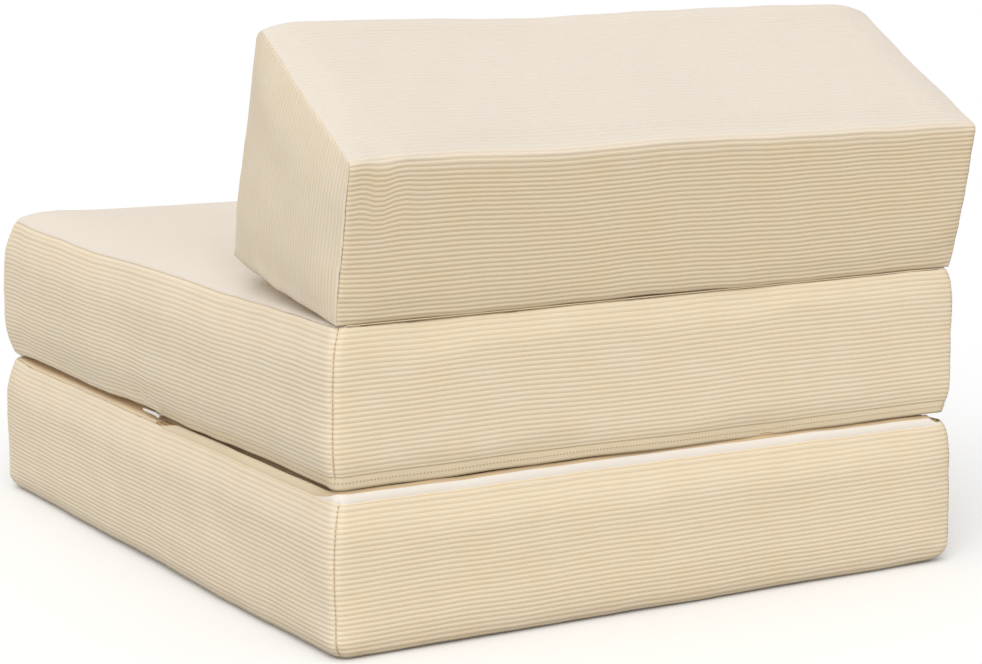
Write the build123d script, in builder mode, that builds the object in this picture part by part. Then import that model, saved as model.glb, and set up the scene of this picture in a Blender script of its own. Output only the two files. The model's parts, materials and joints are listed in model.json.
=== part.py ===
"""A folding sofa of three foam blocks: a base, a seat that folds forward and a wedge backrest.

Every block is a foam core in a sewn and zipped cover. The base and the seat are sewn together along
their front edges, and the backrest along the seat's rear top edge. +Y points to the back of the sofa
and +Z up, and left is the sitter's left, at +X. The origin is the centre of the face on the floor.
"""
import os
from math import cos, radians, sin

from build123d import *

# The whole sofa, seam to seam, and one block with its crowns
width = 800
depth = 925
block_height = 178
stack_gap = 0.3

# How far each face stands proud of its seams, and how far in it gets there
base_foot_crown = 3
base_foot_reach = 14
base_top_crown = 8
seat_foot_crown = 3.5
seat_top_crown = 6
crown_reach = 60
wall_bulge = 8
wall_shoulder = 48

# Cover fabric, its play over the foam, and the flat margin beside a seam
cover = 2
core_clearance = 0.3
seam_margin = 14

# Backrest, in its own cross section with the bottom level
backrest_depth = 237
backrest_rear = 169
backrest_peak = 256
backrest_peak_setback = 20
backrest_rear_slant = 7
backrest_lean = 9.5
backrest_foot_rise = 0.6
backrest_bulge = 3
backrest_crown = 4
backrest_crown_reach = 40
side_crown = 6
side_reach = 55
fold_radius = 28

# Sewn hinge strips
strip = 1
strip_hem = 11
strip_clearance = 0.15
rear_axis_rise = 1.2

# Zips: tapes and chain lie in the seam margin, behind a flap that hangs over them
zip_front = 0
zip_side_setback = 50
tape = 5
chain_width = seam_margin - 2 * tape
chain_rise = 1
stop_length = 3
flap = 1
flap_height = 14
flap_setback = 18

# Zip sliders and pulls
zip_clearance = 0.15
slider_length = 12
slider_wall = 1.2
arm_width = 4
corner_setback = 24
pin_radius = 0.8
pin_running = 0.08
pin_head = 0.5
pin_head_radius = 1.5
eye_radius = 2.2
eye_height = 2
pull_length = 44
pull_neck = 3.4
pull_thickness = 1.4
pull_tip = 2.6
pull_gap = 0.4

# One overrun serves every cut
overrun = 30

# A soft shoulder: how far along it each of its sections lies
shoulder_shares = (0, 0.3, 0.6, 1)


def risen(share):
    """The rise of a soft shoulder, which leaves its seam steeply and ends level."""
    return 1 - (1 - share) ** 2


# Seam heights of the two blocks
base_low = base_foot_crown
base_high = block_height - base_top_crown
seat_low = block_height + stack_gap + seat_foot_crown
seat_high = 2 * block_height + stack_gap - seat_top_crown

# The fold axes lie just outside the bulging faces that meet when the sofa is opened
fold_inset = wall_bulge + strip_clearance
front_axis_y = -depth / 2 - fold_inset
front_axis_z = block_height + stack_gap / 2
rear_axis_y = depth / 2 + fold_inset
rear_axis_z = seat_high + rear_axis_rise

# The backrest is drawn about its fold axis, on a plane that leans back
lean_cos, lean_sin = cos(radians(backrest_lean)), sin(radians(backrest_lean))
backrest_plane = Plane(
    origin=(0, rear_axis_y, rear_axis_z), x_dir=(0, lean_cos, -lean_sin), z_dir=(1, 0, 0)
)
rear_foot = (-fold_inset, backrest_foot_rise)
front_foot = (rear_foot[0] - backrest_depth, backrest_foot_rise)
rear_top = (rear_foot[0] + backrest_rear_slant, backrest_foot_rise + backrest_rear)
front_top = (front_foot[0] + backrest_peak_setback, backrest_foot_rise + backrest_peak)
foot_middle = (rear_foot[0] + front_foot[0]) / 2
backrest_bottom = Plane(
    origin=backrest_plane.from_local_coords((foot_middle, backrest_foot_rise, 0)),
    x_dir=(1, 0, 0),
    z_dir=(0, -lean_sin, -lean_cos),
)


def dome(face, across, along, crown, reach, margin, mode):
    """Raise a shallow crown on a flat face, starting inside its margin."""
    sections = []
    for share in shoulder_shares:
        inset = margin + reach * share
        with BuildSketch(face.offset(crown * risen(share))) as section:
            Rectangle(across - 2 * inset, along - 2 * inset)
        sections.append(section.sketch)
    loft(sections, mode=mode)


def shoulder(seam, rise, across, along, mode):
    """Swell the four walls from a seam out to their full bulge."""
    sections = []
    for share in shoulder_shares:
        swell = wall_bulge * risen(share)
        with BuildSketch(Plane.XY.offset(seam + rise * share)) as section:
            Rectangle(across + 2 * swell, along + 2 * swell)
        sections.append(section.sketch)
    loft(sections, mode=mode)


def block(low, high, low_dome, high_dome, inset=0, mode=Mode.ADD):
    """One soft block between its two seams, drawn in by an inset all over."""
    low, high = low + inset, high - inset
    across, along = width - 2 * inset, depth - 2 * inset
    shoulder(low, wall_shoulder, across, along, mode)
    with BuildSketch(Plane.XY.offset(low + wall_shoulder)) as middle:
        Rectangle(across + 2 * wall_bulge, along + 2 * wall_bulge)
    extrude(middle.sketch, amount=high - low - 2 * wall_shoulder, mode=mode)
    shoulder(high, -wall_shoulder, across, along, mode)
    dome(-Plane.XY.offset(low), across, along, *low_dome, mode)
    dome(Plane.XY.offset(high), across, along, *high_dome, mode)


def backrest_section(x, swell, foot):
    """The wedge's outline at one place across the sofa, swollen, and cut off level at its foot."""
    with BuildSketch(backrest_plane.offset(x)) as section:
        with BuildLine():
            Polyline(rear_foot, rear_top, front_top, front_foot, close=True)
        make_face()
        if swell:
            offset(amount=swell, kind=Kind.INTERSECTION)
        with Locations((foot_middle, foot)):
            Rectangle(
                backrest_depth + 2 * overrun,
                overrun,
                align=(Align.CENTER, Align.MAX),
                mode=Mode.SUBTRACT,
            )
        fillet(section.vertices().sort_by(Axis.Y)[-2:], fold_radius)
    return section.sketch


def backrest_form(inset=0, mode=Mode.ADD):
    """The soft wedge, drawn in by an inset all over."""
    half, foot = width / 2 - inset, backrest_foot_rise + inset
    for side in (-1, 1):
        shoulder_sections, crown_sections = [], []
        for share in shoulder_shares:
            x = side * (half - wall_shoulder * share)
            swell = backrest_bulge * risen(share) - inset
            shoulder_sections.append(backrest_section(x, swell, foot))
            x = side * (half + side_crown * risen(share))
            crown_sections.append(backrest_section(x, -side_reach * share - inset, foot))
        loft(shoulder_sections, mode=mode)
        loft(crown_sections, mode=mode)
    middle = backrest_section(wall_shoulder - half, backrest_bulge - inset, foot)
    extrude(middle, amount=2 * (half - wall_shoulder), mode=mode)
    bottom_crown = (backrest_crown, backrest_crown_reach, seam_margin)
    bottom = backrest_bottom.offset(-inset)
    dome(bottom, width - 2 * inset, backrest_depth - 2 * inset, *bottom_crown, mode)


def finish(name, piece):
    """Label one finished piece and write it as its own node."""
    piece.part.label = name
    export_step(piece.part, f"parts/{name}.step")


os.makedirs("parts", exist_ok=True)

block_shapes = {
    "base": {
        "low": base_low,
        "high": base_high,
        "low_dome": (base_foot_crown, base_foot_reach, 0),
        "high_dome": (base_top_crown, crown_reach, seam_margin),
    },
    "seat": {
        "low": seat_low,
        "high": seat_high,
        "low_dome": (seat_foot_crown, crown_reach, seam_margin),
        "high_dome": (seat_top_crown, crown_reach, seam_margin),
    },
}

# Each block's zip: the face that carries it, the way that face looks, and the flap's lower edge
zip_faces = {
    "base": {"face": base_high, "outward": 1, "flap_low": base_high - flap_height},
    "seat": {"face": seat_low, "outward": -1, "flap_low": seat_low},
}

# Each wall: how far its plan is turned from the rear wall's, its length and its distance apart
walls = {
    "rear": (0, width, depth),
    "left": (-90, depth, width),
    "front": (180, width, depth),
    "right": (90, depth, width),
}


def zip_course(near, far, start):
    """Sketch the U that a zip follows round the rear half, between two insets from the seam."""
    Rectangle(width - 2 * near, depth - 2 * near)
    Rectangle(width - 2 * far, depth - 2 * far, mode=Mode.SUBTRACT)
    with Locations((0, start)):
        whole = width + 2 * overrun, depth
        Rectangle(*whole, align=(Align.CENTER, Align.MAX), mode=Mode.SUBTRACT)


for name, shape in block_shapes.items():
    low, high = shape["low"], shape["high"]
    face, outward = zip_faces[name]["face"], zip_faces[name]["outward"]

    with BuildPart() as foam_core:
        block(**shape, inset=cover + core_clearance)
    finish(f"{name}_foam_core", foam_core)

    with BuildPart() as whole_cover:
        block(**shape)
        block(**shape, inset=cover, mode=Mode.SUBTRACT)

    # The walls are mitred at the block's corners and butt against the top and bottom panels
    for side, (turn, side_width, side_depth) in walls.items():
        half, reach = side_width / 2, side_depth / 2
        with BuildPart() as wall_panel:
            add(whole_cover)
            with BuildSketch(Plane.XY.offset(low + cover).rotated((0, 0, turn))):
                Polygon(
                    (-half - overrun, reach + overrun),
                    (half + overrun, reach + overrun),
                    (half - overrun, reach - overrun),
                    (overrun - half, reach - overrun),
                    align=None,
                )
            extrude(amount=high - low - 2 * cover, mode=Mode.INTERSECT)
        finish(f"{name}_{side}_panel", wall_panel)

    for place, edge, keep in (("bottom", low + cover, Keep.BOTTOM), ("top", high - cover, Keep.TOP)):
        with BuildPart() as level_panel:
            add(whole_cover)
            split(bisect_by=Plane.XY.offset(edge), keep=keep)
            if (place == "top") == (outward > 0):
                with BuildSketch(Plane.XY.offset(face)):
                    zip_course(-overrun, seam_margin, zip_front)
                extrude(amount=cover, both=True, mode=Mode.SUBTRACT)
        finish(f"{name}_{place}_panel", level_panel)

    # Zip: both tapes flush with the face, the chain standing proud, a stop at each end
    courses = {"outer_tape": (0, tape), "inner_tape": (seam_margin - tape, seam_margin)}
    for piece_name, (near, far) in courses.items():
        with BuildPart() as zip_tape:
            with BuildSketch(Plane.XY.offset(face)):
                zip_course(near, far, zip_front)
            extrude(amount=-outward * cover)
        finish(f"{name}_zip_{piece_name}", zip_tape)

    chain_plane = Plane.XY.offset(face + outward * chain_rise)
    with BuildPart() as zip_chain:
        with BuildSketch(chain_plane):
            zip_course(tape, tape + chain_width, zip_front + stop_length)
        extrude(amount=-outward * (cover + chain_rise))
    finish(f"{name}_zip_chain", zip_chain)

    with BuildPart() as zip_stops:
        with BuildSketch(chain_plane):
            chain_x = width / 2 - seam_margin / 2
            with Locations((-chain_x, zip_front), (chain_x, zip_front)):
                Rectangle(chain_width, stop_length, align=(Align.CENTER, Align.MIN))
        extrude(amount=-outward * (cover + chain_rise))
    finish(f"{name}_zip_stops", zip_stops)

    with BuildPart() as zip_flap:
        block(**shape, inset=-flap)
        block(**shape, mode=Mode.SUBTRACT)
        with BuildSketch(Plane.XY.offset(zip_faces[name]["flap_low"])):
            with Locations((0, zip_front + flap_setback)):
                Rectangle(width + 2 * overrun, depth, align=(Align.CENTER, Align.MIN))
        extrude(amount=flap_height, mode=Mode.INTERSECT)
    finish(f"{name}_zip_flap", zip_flap)


with BuildPart() as backrest_foam_core:
    backrest_form(inset=cover + core_clearance)
finish("backrest_foam_core", backrest_foam_core)

with BuildPart() as backrest_cover:
    backrest_form()
    backrest_form(inset=cover, mode=Mode.SUBTRACT)

foot_cut = backrest_bottom.offset(-cover)
side_cut = width / 2 - cover

with BuildPart() as backrest_bottom_panel:
    add(backrest_cover)
    split(bisect_by=foot_cut, keep=Keep.TOP)
    with BuildSketch(backrest_bottom):
        with Locations((0, backrest_depth / 2 + overrun)):
            Rectangle(
                width - 2 * zip_side_setback,
                seam_margin + overrun,
                align=(Align.CENTER, Align.MAX),
            )
    extrude(amount=cover, both=True, mode=Mode.SUBTRACT)
finish("backrest_bottom_panel", backrest_bottom_panel)

# One panel wraps the rear, the sloping top and the front
with BuildPart() as backrest_wrap_panel:
    add(backrest_cover)
    split(bisect_by=foot_cut, keep=Keep.BOTTOM)
    split(bisect_by=Plane.YZ.offset(side_cut), keep=Keep.BOTTOM)
    split(bisect_by=Plane.YZ.offset(-side_cut), keep=Keep.TOP)
finish("backrest_wrap_panel", backrest_wrap_panel)

for side, x, keep in (("left", side_cut, Keep.TOP), ("right", -side_cut, Keep.BOTTOM)):
    with BuildPart() as side_panel:
        add(backrest_cover)
        split(bisect_by=foot_cut, keep=Keep.BOTTOM)
        split(bisect_by=Plane.YZ.offset(x), keep=keep)
    finish(f"backrest_{side}_panel", side_panel)


def backrest_zip_strip(name, near, far, length, rise):
    """One straight strip of the backrest's zip, between two insets from the front seam."""
    with BuildPart() as zip_strip:
        with BuildSketch(backrest_bottom.offset(rise)):
            with Locations((0, backrest_depth / 2 - near)):
                Rectangle(length, far - near, align=(Align.CENTER, Align.MAX))
        extrude(amount=-cover - rise)
    finish(name, zip_strip)


backrest_zip = width - 2 * zip_side_setback
backrest_zip_strip("backrest_zip_outer_tape", 0, tape, backrest_zip, 0)
backrest_zip_strip(
    "backrest_zip_inner_tape", seam_margin - tape, seam_margin, backrest_zip, 0
)
backrest_zip_strip(
    "backrest_zip_chain", tape, tape + chain_width, backrest_zip - 2 * stop_length, chain_rise
)

with BuildPart() as backrest_zip_stops:
    with BuildSketch(backrest_bottom.offset(chain_rise)):
        stop_x = (backrest_zip - stop_length) / 2
        stop_y = (backrest_depth - seam_margin) / 2
        with Locations((-stop_x, stop_y), (stop_x, stop_y)):
            Rectangle(stop_length, chain_width)
    extrude(amount=-cover - chain_rise)
finish("backrest_zip_stops", backrest_zip_stops)

with BuildPart() as backrest_zip_flap:
    backrest_form(inset=-flap)
    backrest_form(mode=Mode.SUBTRACT)
    with BuildSketch(backrest_plane):
        with Locations((front_foot[0], backrest_foot_rise)):
            Rectangle(2 * overrun, flap_height, align=(Align.CENTER, Align.MIN))
    extrude(amount=backrest_zip / 2, both=True, mode=Mode.INTERSECT)
finish("backrest_zip_flap", backrest_zip_flap)


def hinge_leaf(name, plane, hem, kink, seam_low, tip, tip_low):
    """Half of a hinge strip: hemmed flat on a block's margin, then running out to the fold axis."""
    with BuildPart() as leaf:
        with BuildSketch(plane):
            with BuildLine():
                Polyline(
                    (hem, seam_low),
                    (kink, seam_low),
                    (tip, tip_low),
                    (tip, tip_low + strip),
                    (kink, seam_low + strip),
                    (hem, seam_low + strip),
                    close=True,
                )
            make_face()
        extrude(amount=width / 2, both=True)
    finish(name, leaf)


seam_y = depth / 2
front_tip = front_axis_y + strip_clearance
hinge_leaf(
    "front_hinge_base_leaf",
    Plane.YZ,
    strip_hem - seam_y,
    -seam_y,
    base_high,
    front_tip,
    front_axis_z - strip_clearance - strip,
)
hinge_leaf(
    "front_hinge_seat_leaf",
    Plane.YZ,
    strip_hem - seam_y,
    -seam_y,
    seat_low - strip,
    front_tip,
    front_axis_z + strip_clearance,
)
hinge_leaf(
    "rear_hinge_seat_leaf",
    Plane.YZ,
    seam_y - strip_hem,
    seam_y,
    seat_high,
    rear_axis_y - strip_clearance,
    rear_axis_z - strip_clearance - strip,
)
hinge_leaf(
    "rear_hinge_backrest_leaf",
    backrest_plane,
    rear_foot[0] - strip_hem,
    rear_foot[0] + backrest_bulge,
    backrest_foot_rise - strip,
    -strip_clearance,
    strip_clearance,
)


# The slider rides on the chain, and an arm carries its pin out to the seam's edge
arm_reach = seam_margin / 2
channel = chain_rise + zip_clearance
eye_low = channel + slider_wall + zip_clearance
eye_high = eye_low + eye_height


def zip_slider(name, place):
    """A slider that straddles the chain, with a headed pin for its pull."""
    inner_half = chain_width / 2 + zip_clearance
    outer_half = inner_half + slider_wall
    with BuildPart() as slider:
        with BuildSketch(place.offset(zip_clearance)):
            RectangleRounded(slider_length, 2 * outer_half, slider_wall)
        extrude(amount=channel + slider_wall - zip_clearance)
        with BuildSketch(place):
            Rectangle(slider_length + overrun, 2 * inner_half)
        extrude(amount=channel, mode=Mode.SUBTRACT)
        with BuildSketch(place.offset(channel)):
            with Locations((0, arm_reach / 2)):
                Rectangle(arm_width, arm_reach)
            with Locations((0, arm_reach)):
                Circle(arm_width / 2)
        extrude(amount=slider_wall)
        for radius, low, tall in (
            (pin_radius, channel + slider_wall, eye_height + 2 * zip_clearance),
            (pin_head_radius, eye_high + zip_clearance, pin_head),
        ):
            with BuildSketch(place.offset(low)):
                with Locations((0, arm_reach)):
                    Circle(radius)
            extrude(amount=tall)
    finish(name, slider)


def zip_pull(name, place):
    """A flat pull that stands on edge beside the seam, with an eye round the slider's pin."""
    hole = pin_radius + pin_running
    middle = (pull_gap + eye_high) / 2
    edge_plane = Plane(
        origin=place.from_local_coords((0, arm_reach, 0)), x_dir=place.x_dir, z_dir=-place.y_dir
    )
    with BuildPart() as pull:
        with BuildSketch(place.offset(eye_low)):
            with Locations((0, arm_reach)):
                Circle(eye_radius)
                Circle(hole, mode=Mode.SUBTRACT)
        extrude(amount=eye_height)
        with BuildSketch(edge_plane):
            with BuildLine():
                Polyline(
                    (-(eye_radius + hole) / 2, eye_low),
                    (-pull_neck, eye_low),
                    (-pull_neck, pull_gap),
                    (-pull_length, middle - pull_tip / 2),
                    (-pull_length, middle + pull_tip / 2),
                    (-pull_neck, eye_high),
                    (-(eye_radius + hole) / 2, eye_high),
                    close=True,
                )
            make_face()
        extrude(amount=pull_thickness / 2, both=True)
    finish(name, pull)


# Each slider is parked against its stop, and travels away along x of its plane
parked = stop_length + zip_clearance + slider_length / 2
chain_inset = seam_margin / 2
slider_places = {
    "base": Plane(
        origin=(chain_inset - width / 2, zip_front + parked, base_high),
        x_dir=(0, 1, 0),
        z_dir=(0, 0, 1),
    ),
    "seat": Plane(
        origin=(width / 2 - chain_inset, zip_front + parked, seat_low),
        x_dir=(0, 1, 0),
        z_dir=(0, 0, -1),
    ),
    "backrest": Plane(
        origin=backrest_bottom.from_local_coords(
            (parked - backrest_zip / 2, backrest_depth / 2 - chain_inset, 0)
        ),
        x_dir=(1, 0, 0),
        z_dir=backrest_bottom.z_dir,
    ),
}
for name, place in slider_places.items():
    zip_slider(f"{name}_zip_slider", place)
    zip_pull(f"{name}_zip_pull", place)

# What the joints need to know
side_travel = depth / 2 - corner_setback - slider_length / 2 - zip_front - parked
print("front fold axis", front_axis_y, front_axis_z)
print("rear fold axis", rear_axis_y, rear_axis_z, "opens by", 180 - backrest_lean)
print("slider travel on the sides", side_travel)
print("slider travel on the backrest", backrest_zip - 2 * parked)
for name, place in slider_places.items():
    pin = place.from_local_coords((0, arm_reach, eye_low))
    print(name, "pull pin", [round(v, 3) for v in pin], "outward", [round(v, 5) for v in place.z_dir])
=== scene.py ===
"""Folding sofa in corduroy: cushions, flaps, zips and hinge strips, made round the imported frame.

The sofa is three foam blocks in sewn covers. Left is the sitter's left, at +X, and +Y is the back.
Values are in metres, mostly written as millimetres times mm. Moves, bends, flap rows, the corners
of zip bands, hinge steps and the sizes of teeth and stitches are in mm until they are used.
"""

import json

import bmesh
import bpy
import numpy as np
from bpy.props import FloatProperty, FloatVectorProperty, PointerProperty
from mathutils import Euler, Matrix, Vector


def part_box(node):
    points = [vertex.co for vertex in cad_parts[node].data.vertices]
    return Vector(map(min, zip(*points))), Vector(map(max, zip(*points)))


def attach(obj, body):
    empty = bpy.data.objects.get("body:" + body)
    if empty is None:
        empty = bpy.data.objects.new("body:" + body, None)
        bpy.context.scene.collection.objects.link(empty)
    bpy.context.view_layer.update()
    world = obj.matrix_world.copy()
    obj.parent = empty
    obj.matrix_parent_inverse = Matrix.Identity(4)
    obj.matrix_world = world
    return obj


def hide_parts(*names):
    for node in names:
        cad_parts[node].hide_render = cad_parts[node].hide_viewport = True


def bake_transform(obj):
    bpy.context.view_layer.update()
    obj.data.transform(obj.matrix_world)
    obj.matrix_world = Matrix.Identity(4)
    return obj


bl_info = {
    "name": "Folding Sofa",
    "version": (1, 0, 0),
    "blender": (4, 5, 0),
    "location": "3D View > Sidebar > Sofa",
    "description": "Makes a folding corduroy sofa round its packed frame",
    "category": "Object",
}

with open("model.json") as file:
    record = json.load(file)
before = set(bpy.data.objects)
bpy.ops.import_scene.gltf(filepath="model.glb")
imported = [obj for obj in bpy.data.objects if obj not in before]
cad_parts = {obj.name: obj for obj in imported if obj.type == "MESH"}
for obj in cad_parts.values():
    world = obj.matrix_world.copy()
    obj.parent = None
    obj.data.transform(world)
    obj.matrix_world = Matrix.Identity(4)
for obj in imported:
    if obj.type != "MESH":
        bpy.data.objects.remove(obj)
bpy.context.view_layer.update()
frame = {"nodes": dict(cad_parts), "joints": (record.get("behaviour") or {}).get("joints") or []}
mm = 0.001

# Each block's seams, read from the frame: the tape's outer edge lies on the seam that it is sewn to
joints = {joint["name"]: joint for joint in frame["joints"]}
base_tape = [np.array(corner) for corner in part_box("base_zip_outer_tape")]
seat_tape = [np.array(corner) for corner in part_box("seat_zip_outer_tape")]
half_width, half_depth = float(base_tape[1][0]), float(base_tape[1][1])
front_axis = np.array(joints["seat_fold"]["pos_m"])
rear_axis = np.array(joints["backrest_fold"]["pos_m"])
lean = np.radians(180 - joints["backrest_fold"]["range_deg"][1])
seams = {
    "base": (1.2 * mm, float(base_tape[1][2])),
    "seat": (float(seat_tape[0][2]), float(rear_axis[2]) - 1.2 * mm),
}
domes = {"base": (0.5 * mm, 8 * mm), "seat": (3.5 * mm, 6 * mm)}

# The wedge's outline in its own section, about its fold axis with its bottom level
wedge_outline = np.array([(-8.15, -1.2), (0.6, 170.6), (-228.0, 264.2), (-246.5, 0.6)]) * mm
wedge_rounds = (11 * mm, 13 * mm)

# Where the covers stray from their patterns in the photograph
seat_fullness = 10 * mm
corner_round, middle_round, front_round = 13 * mm, 21 * mm, 14 * mm
swells = {
    "base": {"front": 0.98, "left": 1.5, "rear": 1.3, "right": 2.05},
    "seat": {"front": 0.98, "left": 1.4, "rear": 1.15, "right": 2.05},
}
moves = {
    "base": [((-0.405, 0.465, 0.168), (0.05, 0.05, 0.025), (-5, 2, 0))],
    "seat": [
        ((-0.405, 0.465, 0.352), (0.05, 0.05, 0.03), (-5.5, 2, 0)),
        ((-0.405, 0.465, 0.184), (0.05, 0.05, 0.025), (-5, 2, 0)),
        ((0.405, -0.465, 0.352), (0.06, 0.07, 0.06), (-2.5, 4.5, 2)),
        ((0.365, -0.43, 0.356), (0.045, 0.05, 0.02), (0, 0, 4)),
        ((0, -0.465, 0.352), (0.6, 0.12, 0.05), (0, 0, 2.5)),
    ],
    "backrest": [
        ((-0.41, 0.50, 0.52), (0.07, 0.10, 0.09), (-11, 0, 0)),
        ((-0.41, 0.46, 0.40), (0.07, 0.08, 0.07), (-9, 0, 0)),
        ((0.31, 0.29, 0.65), (0.07, 0.06, 0.06), (0, 0, 2)),
        ((0.07, 0.29, 0.65), (0.12, 0.06, 0.06), (0, 0, -3)),
        ((-0.22, 0.29, 0.65), (0.10, 0.06, 0.06), (0, 0, 2)),
        ((0.405, 0.225, 0.389), (0.05, 0.030, 0.016), (0, -2, 3)),
        ((-0.405, 0.225, 0.389), (0.05, 0.018, 0.020), (2, 4, 5)),
        ((0.41, 0.25, 0.46), (0.08, 0.07, 0.07), (3, -5, 0)),
        ((0.405, 0.290, 0.385), (0.04, 0.016, 0.012), (2, 0, 2.5)),
        ((0.405, 0.330, 0.378), (0.04, 0.016, 0.012), (1, 0, -1.5)),
        ((0.362, 0.50, 0.507), (0.014, 0.05, 0.040), (0, -4.5, 0)),
        ((0.336, 0.50, 0.49), (0.018, 0.05, 0.045), (0, 1.8, 0)),
        ((0.384, 0.50, 0.50), (0.012, 0.05, 0.045), (0, 1.5, 0)),
    ],
}

# The way each wall runs and faces, in order round a block
walls = {
    "front": ((1, 0, 0), (0, -1, 0)),
    "left": ((0, 1, 0), (1, 0, 0)),
    "rear": ((-1, 0, 0), (0, 1, 0)),
    "right": ((0, -1, 0), (-1, 0, 0)),
}
front_plane = ((0, -1, 0), -front_axis[1] - 0.5 * mm)
wedge_way = (0, np.cos(lean), -np.sin(lean))
fold_planes = {
    "base": [front_plane],
    "seat": [front_plane, ((0, 1, 0), rear_axis[1] + 0.7 * mm)],
    "backrest": [(wedge_way, rear_axis @ np.array(wedge_way) - 1.2 * mm)],
}
seam_steps = np.array((0.3, 1.2, 2.4, 4, 6.5, 10, 15, 22, 31)) * mm
wale_rows = 4
order = list(walls)
seeds = {"base": (11, 100), "seat": (23, 200)}
base_foot, front_draw = 20 * mm, 75 * mm
seat_top_reach, seat_rear_reach = 46 * mm, 150 * mm
sag_reach = 34 * mm
gathers = (11 * mm, 17 * mm, 29 * mm)
fill_frames = 20
foam_inset = 4.5 * mm

# The level margins that the zips lie in are sunk, so that both blocks close on them
margin, margin_sink, level_sink = 15.5 * mm, 2.9 * mm, 0.9 * mm

# The wedge's crowns and how far from a seam they are full
wrap_crown, face_crown, edge_crown = 3 * mm, 4 * mm, 7 * mm
side_crown, side_reach = 9 * mm, 60 * mm
bottom_crown, bottom_reach, bottom_rear_reach = 4 * mm, 54 * mm, 120 * mm
wedge_tall, wedge_zip = 230 * mm, 350 * mm
wedge_covers = 0.190
thirds = (0, 1 / 3, 2 / 3, 1)
flap_start, flap_thickness, flap_run = 14 * mm, 0.9 * mm, 1.7

# Each flap's rows of points, in mm: heights from its seam, and how proud of the wall they stand
flap_rows = {
    "base": ((-5.6, -4.6, -3.4, -2.2, -1.2, -0.35), (-2.4, -1.2, -0.1, 0.2, 0.2, -0.2)),
    "seat": ((0.1, 3.0, 6.5, 10.0, 12.6, 13.8), (0.1, -0.1, -0.4, -0.7, -1.5, -2.5)),
    "backrest": ((0.4, 3.0, 6.5, 10.0, 12.6, 13.8), (0.3, 0.4, 0.5, 0.5, 0.0, -0.8)),
}

# Where the ribs bend: shares along and across the panel, their reaches, and the shift in mm
seat_left_bends = (
    (0.470, 0.09, 0.010, 0.10, 2.2),
    (0.489, 0.10, 0.009, 0.10, -2.6),
    (0.507, 0.08, 0.009, 0.08, 2.0),
    (0.524, 0.08, 0.010, 0.07, -1.2),
)
wrap_bends = (
    (0.047, 0.205, 0.012, 0.05, -3.6),
    (0.080, 0.190, 0.015, 0.05, 2.0),
    (0.020, 0.200, 0.012, 0.05, 1.5),
)

# How many points each panel has in the coarse cover that is filled, and in the foam
long_wall, side_wall, level_panel = (41, 12), (47, 12), (41, 47)
block_counts = {
    "front": long_wall,
    "rear": long_wall,
    "left": side_wall,
    "right": side_wall,
    "top": level_panel,
    "bottom": level_panel,
}
wedge_counts = {"wrap": (41, 37), "bottom": (41, 13), "left": (13, 13), "right": (13, 13)}
foam_counts = {"base": block_counts, "seat": block_counts, "backrest": wedge_counts}


def length(name, default, description):
    """A property that holds a size."""
    return FloatProperty(name=name, description=description, default=default, subtype="DISTANCE")


def tint(name, default, description):
    """A property that holds a colour."""
    return FloatVectorProperty(
        name=name, description=description, default=default, size=3, subtype="COLOR"
    )


def amount(name, default, description):
    """A property that holds a plain number."""
    return FloatProperty(name=name, description=description, default=default)


class CushionSizes(bpy.types.PropertyGroup):
    """How the foam fills its cover"""

    bulge: length("Wall Bulge", 8 * mm, "How far a wall swells beyond its seams")
    belly: length("Belly", 2.5 * mm, "How much further the middle of a wall swells")
    shoulder: length("Shoulder", 48 * mm, "How far from its seam a wall has its full bulge")
    dome_reach: length("Crown Reach", 74 * mm, "How far from its seam a level panel has its crown")
    rumple: length("Rumple", 1.0 * mm, "Size of the slow unevenness of the foam and its cover")
    pucker: length("Pucker", 0.5 * mm, "Height of the gathers beside a seam")
    groove: length("Seam Groove", 0.9 * mm, "How deep the cloth pulls in at a seam")
    roll: length("Seam Roll", 0.6 * mm, "How far the cloth stands up beside a seam")
    pressure: amount("Pressure", 4, "Pressure that fills the cloth in its simulation")
    give: length("Give", 1.5 * mm, "The furthest that the simulation may move the cloth")


class CorduroySizes(bpy.types.PropertyGroup):
    """The cloth of the covers"""

    pitch: length("Wale Pitch", 5.5 * mm, "From one rib of the corduroy to the next")
    height: length("Wale Height", 1.0 * mm, "Height of a rib over the valley beside it")
    droop: length("Wale Droop", 1.0 * mm, "How far the ribs sag beside an upright seam")
    rib_colour: tint("Rib Colour", (0.86, 0.75, 0.565), "The pile on a rib")
    # Painted shade between the ribs: the valley colour is partly the cloth's own and partly that
    # shade.
    valley_colour_and_shade: tint("Valley Colour and Shade", (0.73, 0.565, 0.365), "The ground between two ribs, darker with painted shade")
    # Painted shade where the cloth is drawn into a seam, also used along the strips' seam edges.
    seam_shade_colour: tint("Seam Shade Colour", (0.50, 0.36, 0.20), "Painted shade where the cloth is drawn into a seam")
    # Painted shade, for cloth that little light reaches.
    painted_shade_colour: tint("Painted Shade Colour", (0.67, 0.49, 0.29), "Painted shade, where little light reaches the cloth")
    # Painted sheen: the pile paler and greyer, mostly on the tops.
    painted_sheen_colour: tint("Painted Sheen Colour", (0.728, 0.668, 0.604), "Painted sheen on the tops")
    # Painted highlight on the base's flap, where its rounded edge catches light at the rear.
    painted_highlight_colour: tint("Painted Highlight Colour", (0.95, 0.88, 0.78), "Painted highlight on the base's flap at the rear")
    strip_colour: tint("Strip Colour", (0.82, 0.68, 0.47), "The flaps and hinge strips")


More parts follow.
